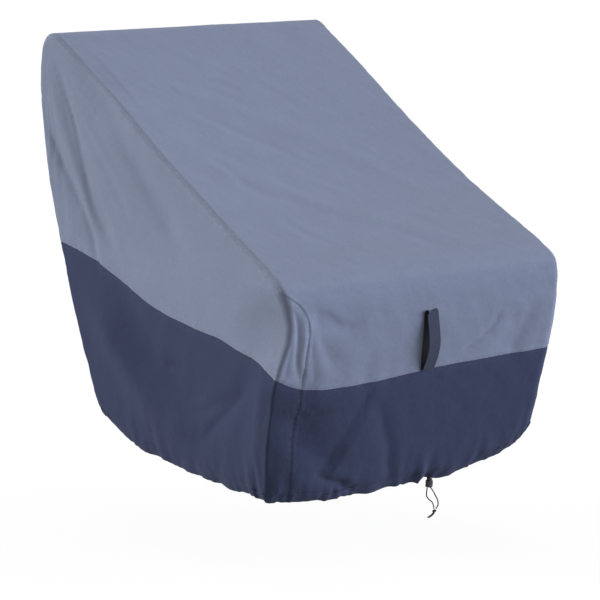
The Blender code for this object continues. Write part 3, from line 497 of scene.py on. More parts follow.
def line_run(x, front_line, back_line, at_front):
    """Where on the outline a line across the front or the back lies."""
    return run_at_front(read(front_line, x)) if at_front else run_at_back(read(back_line, x))


def border_run(x, at_front):
    return line_run(x, FRONT_BORDER, BACK_BORDER, at_front)


def strip_grid(rows_at):
    """A panel of the centre strip: points, normals, height above the hem, cloth coordinates."""
    share = strip_shares()
    guess = share * HALF_WIDTH
    run, above = rows_at(guess)
    for _ in range(4):
        edge = seam_across(run, np.sign(share))
        guess = on_section(run, share * edge)[0][..., 0]
        run, above = rows_at(guess)
    across = share * seam_across(run, np.sign(share))
    return *on_section(run, across), above, stacked(across, run, 0)


def top_rows(x):
    """Rows of the pale strip: up the back, down the slope and down to the front border."""
    x = np.broadcast_to(x, (2 * BACK_ROWS + SLOPE_ROWS + 1, x.shape[-1]))
    rear = border_run(x[:BACK_ROWS], False)
    front = border_run(x[BACK_ROWS + SLOPE_ROWS + 1:], True)
    rising = rising_shares()[:, None]
    slope = RIDGE_RUN + (LIP_RUN - RIDGE_RUN) * slope_shares()[:, None] + 0 * x[: SLOPE_ROWS + 1]
    falling = LIP_RUN + (front - LIP_RUN) * (1 - rising[::-1])
    run = np.concatenate([rear + (RIDGE_RUN - rear) * rising, slope, falling])
    return run, np.full(run.shape, NO_HEM)


def lower_rows(x, at_front):
    """Rows of a dark panel of the strip, from the hem up to a lap under the border."""
    x = np.broadcast_to(x, (LOWER_ROWS + 1, x.shape[-1]))
    hem = line_run(x, FRONT_HEM, BACK_HEM, at_front)
    border = border_run(x, at_front) + (-LAP if at_front else LAP)
    run = hem + (border - hem) * lower_shares()[:, None]
    return run, np.abs(run - hem)


def edge_rows(rows_at, x):
    """The rows of the strip's panel beside a side panel, where its edge is at x."""
    return rows_at(np.reshape(x, (-1, 1)))[0][:, 0]


def edge_of_side(rows_at, sign):
    run = edge_rows(rows_at, sign * HALF_WIDTH)
    return on_section(run, sign * side_across(run, sign))[0][..., 1:]


def fill(bottom, top, rear, front):
    """A smooth grid of (y, z) between four edge curves, as (rows up, columns to the front)."""
    up = lengths_along(rear)
    up = (up / up[-1])[:, None, None]
    along = lengths_along(top)
    along = (along / along[-1])[None, :, None]
    corners = (
        (1 - up) * (1 - along) * bottom[0]
        + (1 - up) * along * bottom[-1]
        + up * (1 - along) * top[0]
        + up * along * top[-1]
    )
    between_rows = (1 - up) * bottom[None] + up * top[None]
    between_columns = (1 - along) * rear[:, None] + along * front[:, None]
    return between_rows + between_columns - corners


def line_on_side(rear, front, table, sign):
    """A border or hem line across the side, from its rear point to its front point."""
    share = slope_shares()
    z = read(table, share, 1 if sign < 0 else 2)
    z += (rear[1] - z[0]) * (1 - share) + (front[1] - z[-1]) * share
    return stacked(rear[0] + (front[0] - rear[0]) * share, z)


def side_surface(flat, sign):
    points = np.concatenate([sign * half_width(flat[..., 1:]), flat], axis=-1)
    normals = np.zeros(points.shape)
    normals[..., 0] = sign
    return points, normals


def side_cloth(points):
    return stacked(points[..., 1], points[..., 2], 0)


def wrap(first, rows_at, sign):
    """The strip of a side panel that turns the corner, out to a lap under the seam.

    Its cloth coordinates are those of the side's edge, first, carried on past it."""
    share = np.linspace(0, 1, WRAP_COLUMNS + 1)[1:, None] ** 1.2
    x = np.full((WRAP_COLUMNS, len(edge_rows(rows_at, sign * HALF_WIDTH))), sign * HALF_WIDTH)
    for _ in range(4):
        run = np.stack([edge_rows(rows_at, row) for row in x])
        start = side_across(run, sign)
        end = seam_across(run, sign) - LAP
        points, normals = on_section(run, sign * (start + (end - start) * share))
        x = points[..., 0]
    away = (start - end) * share
    normal_y, normal_z = profile_normal(run)
    cloth = side_cloth(first[None]) + stacked(normal_y * away, normal_z * away, 0)
    return points, normals, np.abs(run - run[:, :1]), cloth


def upper_side_sheets(sign):
    """The grids of a pale side, flat and turned, and its line at the border."""
    edge = edge_of_side(top_rows, sign)
    rear = edge[: BACK_ROWS + 1]
    top = edge[BACK_ROWS: BACK_ROWS + SLOPE_ROWS + 1]
    front = edge[BACK_ROWS + SLOPE_ROWS:][::-1]
    border = line_on_side(rear[0], front[0], SIDE_BORDER, sign)
    points, normals = side_surface(fill(border, top, rear, front), sign)
    rim = np.concatenate([points[:-1, 0], points[-1, :-1], points[::-1, -1]])
    rim_normals = np.zeros(rim.shape)
    rim_normals[:, 0] = sign
    turned, turned_normals, _, cloth = wrap(rim, top_rows, sign)
    sheets = [
        (points, normals, np.full(points.shape[:2], NO_HEM), side_cloth(points)),
        (
            np.concatenate([rim[None], turned]),
            np.concatenate([rim_normals[None], turned_normals]),
            np.full((WRAP_COLUMNS + 1, len(rim)), NO_HEM),
            np.concatenate([side_cloth(rim[None]), cloth]),
        ),
    ]
    return sheets, border


def lower_side_sheets(sign, border):
    """The grid of a dark side, from the seam at the back round to the seam on the front."""
    rear = edge_of_side(back_rows, sign)
    front = edge_of_side(front_rows, sign)
    top = border + [0, LAP]
    top[0] = rear[-1]
    top[-1] = front[-1]
    grid = fill(line_on_side(rear[0], front[0], SIDE_HEM, sign), top, rear, front)
    points, normals = side_surface(grid, sign)
    above = np.linalg.norm(grid - grid[:1], axis=-1)
    flat = (points, normals, above, side_cloth(points))
    behind = [np.moveaxis(a, 0, 1)[:, ::-1] for a in wrap(points[:, 0], back_rows, sign)]
    ahead = [np.moveaxis(a, 0, 1) for a in wrap(points[:, -1], front_rows, sign)]
    return [tuple(np.concatenate(parts, axis=1) for parts in zip(behind, flat, ahead))]


def front_rows(x):
    return lower_rows(x, True)


def back_rows(x):
    return lower_rows(x, False)


# ---------------------------------------------------------------- folds, seams and wrinkles


def noise(points, seed):
    """Smooth gradient noise of a place, about -1 to 1, the same on each run."""
    base = np.floor(points).astype(np.int64)
    part = points - base
    ease = part**3 * (part * (part * 6 - 15) + 10)
    total = np.zeros(points.shape[:-1])
    for corner in np.ndindex(2, 2, 2):
        cell = base + corner
        mixed = cell[..., 0] * 73856093 ^ cell[..., 1] * 19349663 ^ cell[..., 2] * 83492791
        mixed = (mixed ^ (seed * 668265263)) & 0xFFFFFFFF
        mixed = ((mixed ^ (mixed >> 15)) * 2246822519) & 0xFFFFFFFF
        mixed = ((mixed ^ (mixed >> 13)) * 3266489917) & 0xFFFFFFFF
        mixed = mixed ^ (mixed >> 16)
        push = np.stack([(mixed >> shift & 1023) / 511.5 - 1 for shift in (0, 10, 20)], axis=-1)
        weight = np.prod(np.where(corner, ease, 1 - ease), axis=-1)
        total += weight * np.sum(push * (part - corner), axis=-1)
    return total * 1.7


def fade(value, low, high):
    """1 below low, 0 above high, smooth between."""
    part = np.clip((value - low) / (high - low), 0, 1)
    return 1 - part * part * (3 - 2 * part)


def bell(value, width, power=2):
    """1 at zero, falling off over a width on either side."""
    return np.exp(-((value / width) ** power))


def fold_path(start, middle, end):
    part = np.linspace(0, 1, 25)[:, None]
    start, middle, end = (np.array(point) for point in (start, middle, end))
    bend = 2 * middle - (start + end) / 2
    path = start * (1 - part) ** 2 + bend * 2 * part * (1 - part) + end * part**2
    return path, np.clip(np.sin(math.pi * part[:, 0]) * 1.5 + 0.12, 0, 1)


def fold_depth(points):
    """How far the solids' folds push the cloth in at each point."""
    total = np.zeros(points.shape[:-1])
    for _, start, middle, end, width, depth in FOLDS:
        path, strength = fold_path(start, middle, end)
        away = np.linalg.norm(points[..., None, :] - path, axis=-1)
        total += depth * np.max(strength * bell(away, width), axis=-1)
    return total


def hem_shape(points, above_hem):
    """The hem's curl inward and its waves."""
    near = np.clip(1 - above_hem / HEM_CURL_HEIGHT, 0, 1)
    around = np.arctan2(points[..., 0], points[..., 1] - HEM_CENTRE_Y) * HEM_MEAN_RADIUS
    wave = np.sin(2 * math.pi * around / HEM_WAVE_LENGTH + 1.7 * np.sin(around * 9))
    return HEM_CURL * near**2 + HEM_WAVE * wave * near


def sag(points, normals):
    """How far the slope and the sides sag between what holds them."""
    x, y, z = np.moveaxis(points, -1, 0)
    along = np.clip((SLOPE_START_Y - y) / SLOPE_REACH, 0, 1)
    middle = np.clip(1 - (x / HALF_WIDTH) ** 2, 0, 1)
    slope = SLOPE_SAG * middle * np.sin(math.pi * along) * (z > SLOPE_LOWEST)
    off_y = (y - SIDE_SAG_CENTRE[0]) / SIDE_SAG_REACH[0]
    off_z = (z - SIDE_SAG_CENTRE[1]) / SIDE_SAG_REACH[1]
    side = SIDE_SAG * np.exp(-(off_y**2) - off_z**2) * np.clip(np.abs(normals[..., 0]), 0, 1) ** 2
    return slope + side


def nearness(points, depth):
    """1 at the front and 0 at a distance behind it."""
    behind = points[..., 1] - smooth_read(run_at_front(points[..., 2]), RUN, Y)
    return np.clip(1 - behind / depth, 0, 1)


def corner_ease(points):
    """How far back the front's left corner is drawn at each point."""
    across = np.clip((EASE_START_X - points[..., 0]) / EASE_WIDTH, 0, 1)
    beyond = EASE_POWER * EASE_KNEE ** (EASE_POWER - 1) * np.maximum(across - EASE_KNEE, 0)
    across = np.minimum(across, EASE_KNEE) ** EASE_POWER + beyond
    near = nearness(points, EASE_DEPTH)
    return read(CORNER_EASE, points[..., 2]) * across * near**2 * (3 - 2 * near)


def corner_pinch(points):
    """How far the left side is drawn in near its front edge at each point."""
    across = np.clip((PINCH_START_X - points[..., 0]) / PINCH_WIDTH, 0, 1)
    near = nearness(points, PINCH_DEPTH)
    return read(CORNER_PINCH, points[..., 2]) * across * near**2 * (3 - 2 * near)


def nearest_on(points, line):
    """Distance from each point to a polyline, and how far along the line its nearest place is."""
    flat = points.reshape(-1, 3)
    along = lengths_along(line)
    away = np.empty(len(flat))
    place = np.empty(len(flat))
    for first in range(0, len(flat), 5000):
        some = flat[first: first + 5000]
        gaps = np.zeros((len(some), len(line)))
        for axis in range(3):
            gaps += (some[:, None, axis] - line[None, :, axis]) ** 2
        near = gaps.argmin(1)
        best = np.sqrt(gaps[np.arange(len(some)), near])
        at = along[near]
        for low in (np.maximum(near - 1, 0), np.minimum(near, len(line) - 2)):
            step = line[low + 1] - line[low]
            part = np.clip(((some - line[low]) * step).sum(1) / (step**2).sum(1), 0, 1)
            gap = np.linalg.norm(some - line[low] - step * part[:, None], axis=1)
            better = gap < best
            best = np.where(better, gap, best)
            at = np.where(better, along[low] + part * (along[low + 1] - along[low]), at)
        away[first: first + 5000] = best
        place[first: first + 5000] = at
    return away.reshape(points.shape[:-1]), place.reshape(points.shape[:-1])


def seam_line(side):
    """The seam between the strip and one side, from the rear hem to the front hem."""
    run = np.linspace(0.01, RUN[-1] - 0.01, 560)
    return on_section(run, side * seam_across(run, side))[0]


def border_line(left, right):
    """The border seam all the way round, from the sides' border lines."""
    lines = []
    for at_front, sign in ((True, 1), (False, -1)):
        across = np.linspace(-BORDER_REACH, BORDER_REACH, 150) * sign
        x = across
        for _ in range(3):
            points, _ = on_section(border_run(x, at_front), across)
            x = points[..., 0]
        lines.append(points)
    front, back = lines
    left, _ = side_surface(left[::4], -1)
    right, _ = side_surface(right[::4], 1)
    ring = np.concatenate([left, front, right[::-1], back])
    steps = np.linalg.norm(np.diff(ring, axis=0), axis=1)
    return ring[np.concatenate([[True], steps > 1e-4])]


def crease_point(face, a, b):
    """A point of the plain surface: (y, z) on a side, (x, z) on the front, (x, y) on the slope."""
    if face == "left":
        return np.array([-float(half_width(b)), a, b])
    if face == "slope":
        slope = FINE_RUN >= RIDGE_RUN
        run = np.interp(-b, -smooth_read(FINE_RUN[slope], RUN, Y), FINE_RUN[slope])
    else:
        run = float(run_at_front(b))
    across = a
    for _ in range(4):
        point = on_section(np.array([run]), np.array([across]))[0][0]
        across += a - point[0]
    return point


def crease_path(face, route):
    """A smooth path on the plain surface, and how strong the crease is along it."""
    spots = np.array([crease_point(face, *place[:2]) for place in route])
    strength = [place[2] if len(place) > 2 else 1 for place in route]
    chord = lengths_along(spots)
    count = max(12, int(chord[-1] / CREASE_STEP))
    at = np.linspace(0, chord[-1], count)
    path = np.stack([smooth_read(at, chord, spots[:, axis]) for axis in range(3)], axis=-1)
    ends = np.clip(np.sin(math.pi * np.linspace(0, 1, count)) * 2.2 + 0.03, 0, 1)
    return path, ends * np.interp(at, chord, strength)


# How far from its path a crease is still worked out, and the spacing of the points of its path.
CREASE_REACH = 0.05
CREASE_STEP = 0.006
# The creases finer than the solids' folds. Widths are to the left and to the right of the
# route as one looks at the cloth from outside. Power 1 is a sharp crease, 2 a soft trough.
# Each point of a route is (a, b) as in crease_point, or (a, b, strength) where that isn't 1.
FAN_EDGE = [
    (-0.016, -0.052, 0.5), (-0.078, -0.169), (-0.116, -0.26), (-0.169, -0.376), (-0.246, -0.453, 0.8)
]
CREASES = [
    # name, face, left width, right width, depth, power, route
    ("fan edge", "left", 0.01, 0.004, 0.0025, 1.3, FAN_EDGE),
    ("fan hollow", "left", 0.045, 0.006, 0.003, 1.6, FAN_EDGE),
    ("fan rear hollow", "left", 0.024, 0.007, 0.0062, 1.5,
     [(0.021, -0.19, 0.8), (-0.026, -0.269), (-0.09, -0.341), (-0.152, -0.43), (-0.182, -0.49)]),
    ("fan front hollow", "left", 0.045, 0.018, 0.004, 2.0,
     [(-0.082, -0.022), (-0.207, -0.124), (-0.312, -0.241), (-0.415, -0.348), (-0.517, -0.418)]),
    ("swag crest line", "left", 0.034, 0.04, -0.0094, 1.3,
     [(-0.19, -0.581), (-0.229, -0.619), (-0.284, -0.672), (-0.336, -0.718), (-0.4, -0.755),
      (-0.462, -0.781), (-0.53, -0.802, 0.8)]),
    ("swag trough line", "left", 0.014, 0.03, 0.0045, 1.8,
     [(-0.302, -0.565), (-0.343, -0.602), (-0.376, -0.646), (-0.428, -0.681), (-0.491, -0.709),
      (-0.57, -0.714, 0.8)]),
    ("front swag line", "left", 0.012, 0.008, 0.0035, 1.6,
     [(-0.722, -0.657, 0.6), (-0.666, -0.703), (-0.59, -0.759), (-0.547, -0.803, 0.6)]),
    ("corner crest line", "left", 0.03, 0.03, -0.0015, 2.0,
     [(-0.788, -0.631), (-0.776, -0.699), (-0.757, -0.764), (-0.73, -0.831)]),
    ("small hollow", "left", 0.012, 0.01, 0.003, 1.8,
     [(-0.403, -0.668), (-0.448, -0.662), (-0.493, -0.661, 0.8)]),
    ("low hollow", "left", 0.01, 0.016, 0.0035, 1.8,
     [(-0.448, -0.731), (-0.512, -0.745), (-0.602, -0.715), (-0.668, -0.689, 0.7)]),
    ("outer tuck", "front", 0.005, 0.006, 0.003, 1.3,
     [(-0.347, -0.485, 0.4), (-0.338, -0.535), (-0.327, -0.58), (-0.309, -0.626, 0.8), (-0.304, -0.64, 0.6)]),
    ("inner tuck", "front", 0.004, 0.004, 0.0018, 1.3,
     [(-0.308, -0.513), (-0.306, -0.545), (-0.303, -0.581), (-0.301, -0.612), (-0.3, -0.65)]),
    ("inner tuck shade", "front", 0.01, 0.008, 0.0015, 1.8,
     [(-0.295, -0.529), (-0.288, -0.57), (-0.274, -0.645)]),
    ("outer wedge", "front", 0.008, 0.005, 0.0018, 1.5,
     [(-0.356, -0.554, 0.5), (-0.348, -0.59), (-0.341, -0.625)]),
    ("lip hollow", "front", 0.007, 0.02, 0.002, 1.6,
     [(-0.29, -0.497), (-0.25, -0.506), (-0.218, -0.528), (-0.18, -0.535, 0.6)]),
    ("upper slant", "front", 0.011, 0.013, 0.0013, 1.8,
     [(-0.284, -0.524, 0.6), (-0.259, -0.568), (-0.232, -0.611), (-0.212, -0.634, 0.6)]),
    ("dark dip", "front", 0.12, 0.034, 0.0085, 1.6,
     [(-0.3, -0.69, 0.8), (-0.297, -0.728), (-0.262, -0.786), (-0.225, -0.815), (-0.185, -0.836)]),
    ("low crease", "front", 0.008, 0.01, 0.0046, 1.5,
     [(-0.237, -0.841, 0.8), (-0.186, -0.866), (-0.146, -0.873)]),
    ("low pocket", "front", 0.01, 0.009, 0.006, 1.5,
     [(-0.182, -0.866, 0.6), (-0.154, -0.882), (-0.126, -0.893, 0.8)]),
    ("middle crease", "front", 0.01, 0.012, 0.0024, 1.5,
     [(-0.106, -0.695, 0.5), (-0.083, -0.758, 0.8), (-0.054, -0.818), (-0.05, -0.85, 1.4),
      (-0.04, -0.888, 1.4)]),
    ("right slant", "front", 0.007, 0.006, 0.0032, 1.4,
     [(0.202, -0.541, 0.8), (0.184, -0.569), (0.146, -0.597), (0.096, -0.621)]),
    ("right corner hollow", "front", 0.018, 0.014, 0.0014, 1.8,
     [(0.271, -0.554, 0.8), (0.261, -0.594), (0.23, -0.633)]),
    ("right notch", "front", 0.008, 0.008, 0.0012, 1.6,
     [(0.179, -0.63), (0.208, -0.643)]),
    ("slope wrinkle 1", "slope", 0.012, 0.012, 0.0014, 1.8,
     [(-0.215, -0.282), (-0.159, -0.32), (-0.117, -0.364), (-0.052, -0.418), (-0.015, -0.468)]),
    ("slope wrinkle 2", "slope", 0.014, 0.012, 0.0014, 1.8,
     [(-0.252, -0.423), (-0.23, -0.465), (-0.207, -0.545), (-0.168, -0.575), (-0.1, -0.595)]),
    ("slope wrinkle 3", "slope", 0.012, 0.012, 0.0012, 1.8,
     [(-0.213, -0.637), (-0.193, -0.691), (-0.156, -0.735)]),
    ("slope wrinkle 4", "slope", 0.012, 0.012, 0.0012, 1.8,
     [(-0.293, -0.718), (-0.247, -0.763), (-0.196, -0.788)]),
    ("slope wrinkle 5", "slope", 0.014, 0.012, 0.0012, 1.8,
     [(0.006, -0.688), (0.061, -0.738), (0.118, -0.786)]),
    ("slope wrinkle 6", "slope", 0.012, 0.014, 0.0012, 1.8,
     [(-0.178, -0.213), (-0.053, -0.214), (-0.018, -0.255)]),
]




def crease_depth(points, normals):
    """How far the finer creases push the cloth in."""
    total = np.zeros(points.shape[:-1])
    for _, face, left, right, depth, power, route in CREASES:
        path, strength = crease_path(face, route)
        low = path.min(0) - CREASE_REACH
        high = path.max(0) + CREASE_REACH
        near = np.all((points > low) & (points < high), axis=-1)
        if not near.any():
            continue
        spots = points[near]
        gaps = np.linalg.norm(spots[:, None] - path[None], axis=-1)
        closest = gaps.argmin(1)
        gap = gaps[np.arange(len(spots)), closest]
        along = np.gradient(path, axis=0)[closest]
        turn = np.sum(np.cross(along, spots - path[closest]) * normals[near], axis=-1)
        total[near] += depth * (strength[closest] * bell(gap, np.where(turn > 0, left, right), power))
    return total


def wrinkles(points, normals):
    """Fine unevenness: long soft pulls on the slope, a fan on the sides, crumples low down."""
    x, y, z = np.moveaxis(points, -1, 0)
    up = np.clip(normals[..., 2], 0, 1)
    sideways = np.abs(normals[..., 0]) ** 2
    frontal = np.abs(normals[..., 1]) * (1 - up)
    down = points @ unit(np.array(PULL_ALONG))
    over = points @ unit(np.array(PULL_ACROSS))
    patch = 0.55 + 0.9 * noise(points / 0.16, 11)
    slope = noise(stacked(down / 0.17, over / 0.030, 0), 1) * patch
    slope += 0.7 * noise(stacked(down / 0.35, over / 0.070, 5), 2)
    off_y, off_z = y - FAN_CENTRE[0], z - FAN_CENTRE[1]
    reach = np.hypot(off_y, off_z)
    angle = np.arctan2(off_z, off_y)
    fan = noise(stacked(reach / 0.22, angle / 0.075, x * 3), 3) * np.clip(reach / 0.25, 0, 1.3)
    low = np.clip((LOW_START - z) / LOW_DEPTH, 0, 1)
    drape = noise(stacked((y + 0.35 * z) / 0.055, z / 0.16, x * 3), 4)
    front = noise(stacked((x + 0.5 * z) / 0.050, z / 0.11, 0), 5)
    crumple = noise(points / 0.034, 6) + 0.5 * noise(points / 0.016, 7)
    amount = SLOPE_WRINKLE * slope * up
    amount += sideways * (FAN_WRINKLE * fan * (1 - low) + DRAPE_WRINKLE * drape * low)
    amount += frontal * FRONT_WRINKLE * front
    amount += CRUMPLE * crumple * (0.8 + 0.9 * low)
    return amount


def gathers(points, above):
    """The hem's uneven gathers: how far in, and how far the edge is drawn up."""
    wide = points * [1, 1, 0.10]
    patch = np.clip(0.75 + 1.0 * noise(wide / 0.11, 21), 0.15, 1.8)
    corner, lock = (bell(np.linalg.norm(points - place, axis=-1), GATHERED_REACH) for place in GATHERED_MORE)
    patch = patch * (1 + 0.6 * corner + 0.2 * lock)
    small = SMALL_GATHER * noise(wide / 0.0115, 22) * fade(above, 0.0, 0.055)
    large = LARGE_GATHER * noise(wide / 0.027, 23) * fade(above, 0.0, 0.115)
    lift = patch * (SMALL_LIFT * noise(wide / 0.014, 24) + LARGE_LIFT * noise(wide / 0.040, 25))
    return patch * (small + large), lift * fade(above, 0.0, 0.03)


def seam_shape(points, panel):
    """Seams: a lapped step, a groove, a raised allowance beside it, and puckers along it."""
    seam, seam_at = nearest_on(points, SEAMS["left"])
    other, other_at = nearest_on(points, SEAMS["right"])
    seam_at = np.where(other < seam, other_at + 7.0, seam_at)
    seam = np.minimum(seam, other)
    border, border_at = nearest_on(points, SEAMS["border"])
    push = np.zeros(points.shape[:-1])
    for away, under in ((seam, panel in SIDE_PANELS), (border, panel in LOWER_PANELS)):
        if under:
            push += LAP_STEP * fade(away, *LAP_FADE)
        else:
            push -= ALLOWANCE_RISE * fade(np.abs(away - ALLOWANCE_PLACE), *ALLOWANCE_FADE)
    push += GROOVE * bell(seam, GROOVE_WIDTH) + GROOVE * bell(border, GROOVE_WIDTH)
    for away, at, seed in ((seam, seam_at, 31), (border, border_at, 41)):
        line = stacked(at, 0, seed)
        even = 0.6 + 0.8 * noise(line / [0.09, 1, 1], seed + 3)
        push += SMALL_PUCKER * even * noise(line / [0.011, 1, 1], seed) * bell(away, 0.013, 1.5)
        push += LARGE_PUCKER * noise(line / [0.034, 1, 1], seed + 1) * bell(away, 0.030, 1.5)
    return push, seam, border


def shaped(points, normals, above, panel):
    """The plain surface moved to the shape in which the cloth hangs, with its seams and wrinkles.

    Also gives the distances from the seam and from the border."""
    push = fold_depth(points) + hem_shape(points, above) + sag(points, normals)
    push += crease_depth(points, normals) + wrinkles(points, normals)
    extra, seam, border = seam_shape(points, panel)
    in_gather, lift = gathers(points, above)
    push += extra
    push += in_gather
    push += CASING_GROOVE * bell(np.abs(above - CASING), GROOVE_WIDTH) * (above < NO_HEM)
    push -= HEM_ROLL * bell(above - HEM_ROLL_HEIGHT, HEM_ROLL_WIDTH) * (above < NO_HEM)
    moved = points - normals * push[..., None]
    moved[..., 0] += corner_pinch(points)
    moved[..., 1] += corner_ease(points)
    moved[..., 2] += lift
    return moved, seam, border


# ---------------------------------------------------------------- meshes


def new_object(name, data, material=None):
    if material:
        data.materials.append(material)
    piece = bpy.data.objects.new(name, data)
    bpy.context.scene.collection.objects.link(piece)
    return piece


def mesh_from(name, points, faces, attributes=None, sharp=50):
    mesh = bpy.data.meshes.new(name)
    mesh.from_pydata([tuple(point) for point in np.asarray(points, float).tolist()], [], faces)
    mesh.update()
    for key, values in (attributes or {}).items():
        values = np.asarray(values, np.float32)
        kind = "FLOAT_VECTOR" if values.ndim == 2 else "FLOAT"
        layer = mesh.attributes.new(key, kind, "POINT")
        layer.data.foreach_set("vector" if values.ndim == 2 else "value", values.ravel())
    mesh.shade_smooth()
    mesh.set_sharp_from_angle(angle=math.radians(sharp))
    return mesh


def hem_turned(points, cloth):
    """Rows that fold the cloth's lower edge inward and up again, to be set below the first row."""
    up = unit(points[3] - points[0])
    out = np.cross(unit(np.gradient(points[0], axis=0)), up)
    middle = np.array([0, HEM_CENTRE_Y, np.mean(points[0, :, 2])])
    out *= np.sign(np.sum(np.sign(np.sum(out * (points[0] - middle), axis=-1))))
    centre = points[0] - out * FOLD_RADIUS
    rows = []
    shifts = []
    for angle in np.linspace(0, math.pi, FOLD_STEPS + 1)[1:]:
        rows.append(centre + FOLD_RADIUS * (out * math.cos(angle) - up * math.sin(angle)))
        shifts.append(-FOLD_RADIUS * angle)
    for height in HEM_TURN_HEIGHTS:
        rows.append(rows[FOLD_STEPS - 1] + up * height)
        shifts.append(shifts[FOLD_STEPS - 1] - height)
    extra = cloth[:1] + np.array(shifts[::-1])[:, None, None] * np.array([0, 1, 0])
    return np.stack(rows[::-1]), extra


def closed_cloth(points, quads):
    """The points and faces of a sheet and of its inner side, joined round the rim."""
    ends = [points[quads[:, corner]] for corner in range(4)]
    facing = np.cross(ends[2] - ends[0], ends[3] - ends[1])
    normals = np.zeros(points.shape)
    for corner in range(4):
        np.add.at(normals, quads[:, corner], facing)
    total = len(points)
    edges = np.concatenate([quads[:, [k, (k + 1) % 4]] for k in range(4)])
    forward = edges[:, 0] * total + edges[:, 1]
    backward = edges[:, 1] * total + edges[:, 0]
    rim = edges[~np.isin(forward, backward)]
    faces = quads.tolist()
    faces += (quads[:, ::-1] + total).tolist()
    faces += stacked(rim[:, 1], rim[:, 0], rim[:, 0] + total, rim[:, 1] + total).tolist()
    return np.concatenate([points, points - unit(normals) * THICKNESS]), faces


def cloth_piece(name, sheets, panel, material):
    """One closed sheet of cloth from grids of points that share their edges."""
    points_all, cloth_all, wear_all, quads_all = [], [], [], []
    count = 0
    for points, normals, above, cloth in sheets:
        moved, seam, border = shaped(points, normals, above, panel)
        facing = np.cross(moved[:-1, 1:] - moved[:-1, :-1], moved[1:, :-1] - moved[:-1, :-1])
        flipped = np.sum(facing * normals[:-1, :-1]) < 0
        wear = bell(np.minimum(seam, border), 0.010)
        if panel in LOWER_PANELS:
            rows, extra = hem_turned(moved, cloth)
            wear = np.concatenate([np.ones(rows.shape[:2]), np.maximum(wear, bell(above, 0.012))])
            moved = np.concatenate([rows, moved])
            cloth = np.concatenate([extra, cloth])
        index = count + np.arange(wear.size).reshape(wear.shape)
        quads = stacked(index[:-1, :-1], index[:-1, 1:], index[1:, 1:], index[1:, :-1]).reshape(-1, 4)
        quads_all.append(quads[:, ::-1] if flipped else quads)
        points_all.append(moved.reshape(-1, 3))
        cloth_all.append(cloth.reshape(-1, 3))
        wear_all.append(wear.ravel())
        count += wear.size
    points = np.concatenate(points_all)
    _, first, same = np.unique(np.round(points, 6), axis=0, return_index=True, return_inverse=True)
    both, faces = closed_cloth(points[first], same.reshape(-1)[np.concatenate(quads_all)])
    cloth = np.concatenate(cloth_all)[first]
    wear = np.concatenate(wear_all)[first]
    attributes = {"cloth": np.concatenate([cloth, cloth]), "wear": np.concatenate([wear, wear])}
    return new_object(name, mesh_from(name, both, faces, attributes, sharp=75), material)


def tube_faces(rings, steps):
    """The faces of a closed form of rings of points, one ring after another."""
    faces = []
    for ring in range(rings - 1):
        for step in range(steps):
            after = (step + 1) % steps
            low, high = ring * steps, (ring + 1) * steps
            faces.append([low + step, low + after, high + after, high + step])
    faces.append(list(range(steps))[::-1])
    faces.append([(rings - 1) * steps + step for step in range(steps)])
    return faces


def swept(path, across, outward, outline, sizes=None):
    """Points and faces of an outline carried along a path. across and outward are its axes."""
    rings = []
    sizes = [1] * len(path) if sizes is None else sizes
    for centre, side, out, size in zip(path, across, outward, sizes):
        rings.append([centre + side * (a * size) + out * (b * size) for a, b in outline])
    return np.concatenate(rings), tube_faces(len(path), len(outline))


def joined(parts):
    """Several (points, faces) as one."""
    points, faces, count = [], [], 0
    for some, more in parts:
        points.append(some)
        faces += [[corner + count for corner in face] for face in more]
        count += len(some)
    return np.concatenate(points), faces


def outward_facing(piece):
    """Turns a closed mesh's faces outward if they face in."""
    corners = np.array([vertex.co for vertex in piece.data.vertices])
    piece.data.calc_loop_triangles()
    ids = np.array([triangle.vertices for triangle in piece.data.loop_triangles])
    a, b, c = corners[ids[:, 0]], corners[ids[:, 1]], corners[ids[:, 2]]
    if np.sum(np.cross(a, b) * c) < 0:
        piece.data.flip_normals()
    return piece


def circle(radius, steps):
    angles = np.linspace(0, 2 * math.pi, steps, endpoint=False)
    return [(radius * math.cos(angle), radius * math.sin(angle)) for angle in angles]


def tube(path, radius, steps):
    """A round tube along a path, with axes across it that turn as little as they can."""
    path = np.asarray(path, float)
    along = unit(np.gradient(path, axis=0))
    side = np.cross(along[0], (0.0, 1.0, 0.2))
    sides = []
    for direction in along:
        side = side - direction * np.dot(side, direction)
        side /= np.linalg.norm(side)
        sides.append(side)
    return swept(path, sides, np.cross(along, sides), circle(radius, steps))


# ---------------------------------------------------------------- materials


def principled(name, colour, roughness, sheen=0.0, specular=0.35):
    material = bpy.data.materials.new(name)
    material.use_nodes = True
    shader = material.node_tree.nodes["Principled BSDF"]
    shader.inputs["Base Color"].default_value = (*colour, 1)
    shader.inputs["Roughness"].default_value = roughness
    shader.inputs["Specular IOR Level"].default_value = specular
    shader.inputs["Sheen Weight"].default_value = sheen
    shader.inputs["Sheen Roughness"].default_value = 0.5
    material.diffuse_color = (*colour, 1)
    return material, material.node_tree, shader


def node(tree, kind, inputs=None, **settings):
    made = tree.nodes.new(kind)
    for key, value in settings.items():
        setattr(made, key, value)
    for key, value in (inputs or {}).items():
        socket = made.inputs[key]
        if isinstance(value, bpy.types.NodeSocket):
            tree.links.new(value, socket)
        else:
            socket.default_value = value
    return made


def maths(tree, operation, *values, clamp=False):
    inputs = dict(enumerate(values))
    return node(tree, "ShaderNodeMath", inputs, operation=operation, use_clamp=clamp).outputs[0]


def product(tree, first, *rest):
    for value in rest:
        first = maths(tree, "MULTIPLY", first, value)
    return first


def waves(tree, value, pitch):
    return maths(tree, "SINE", product(tree, value, 2 * math.pi / pitch))


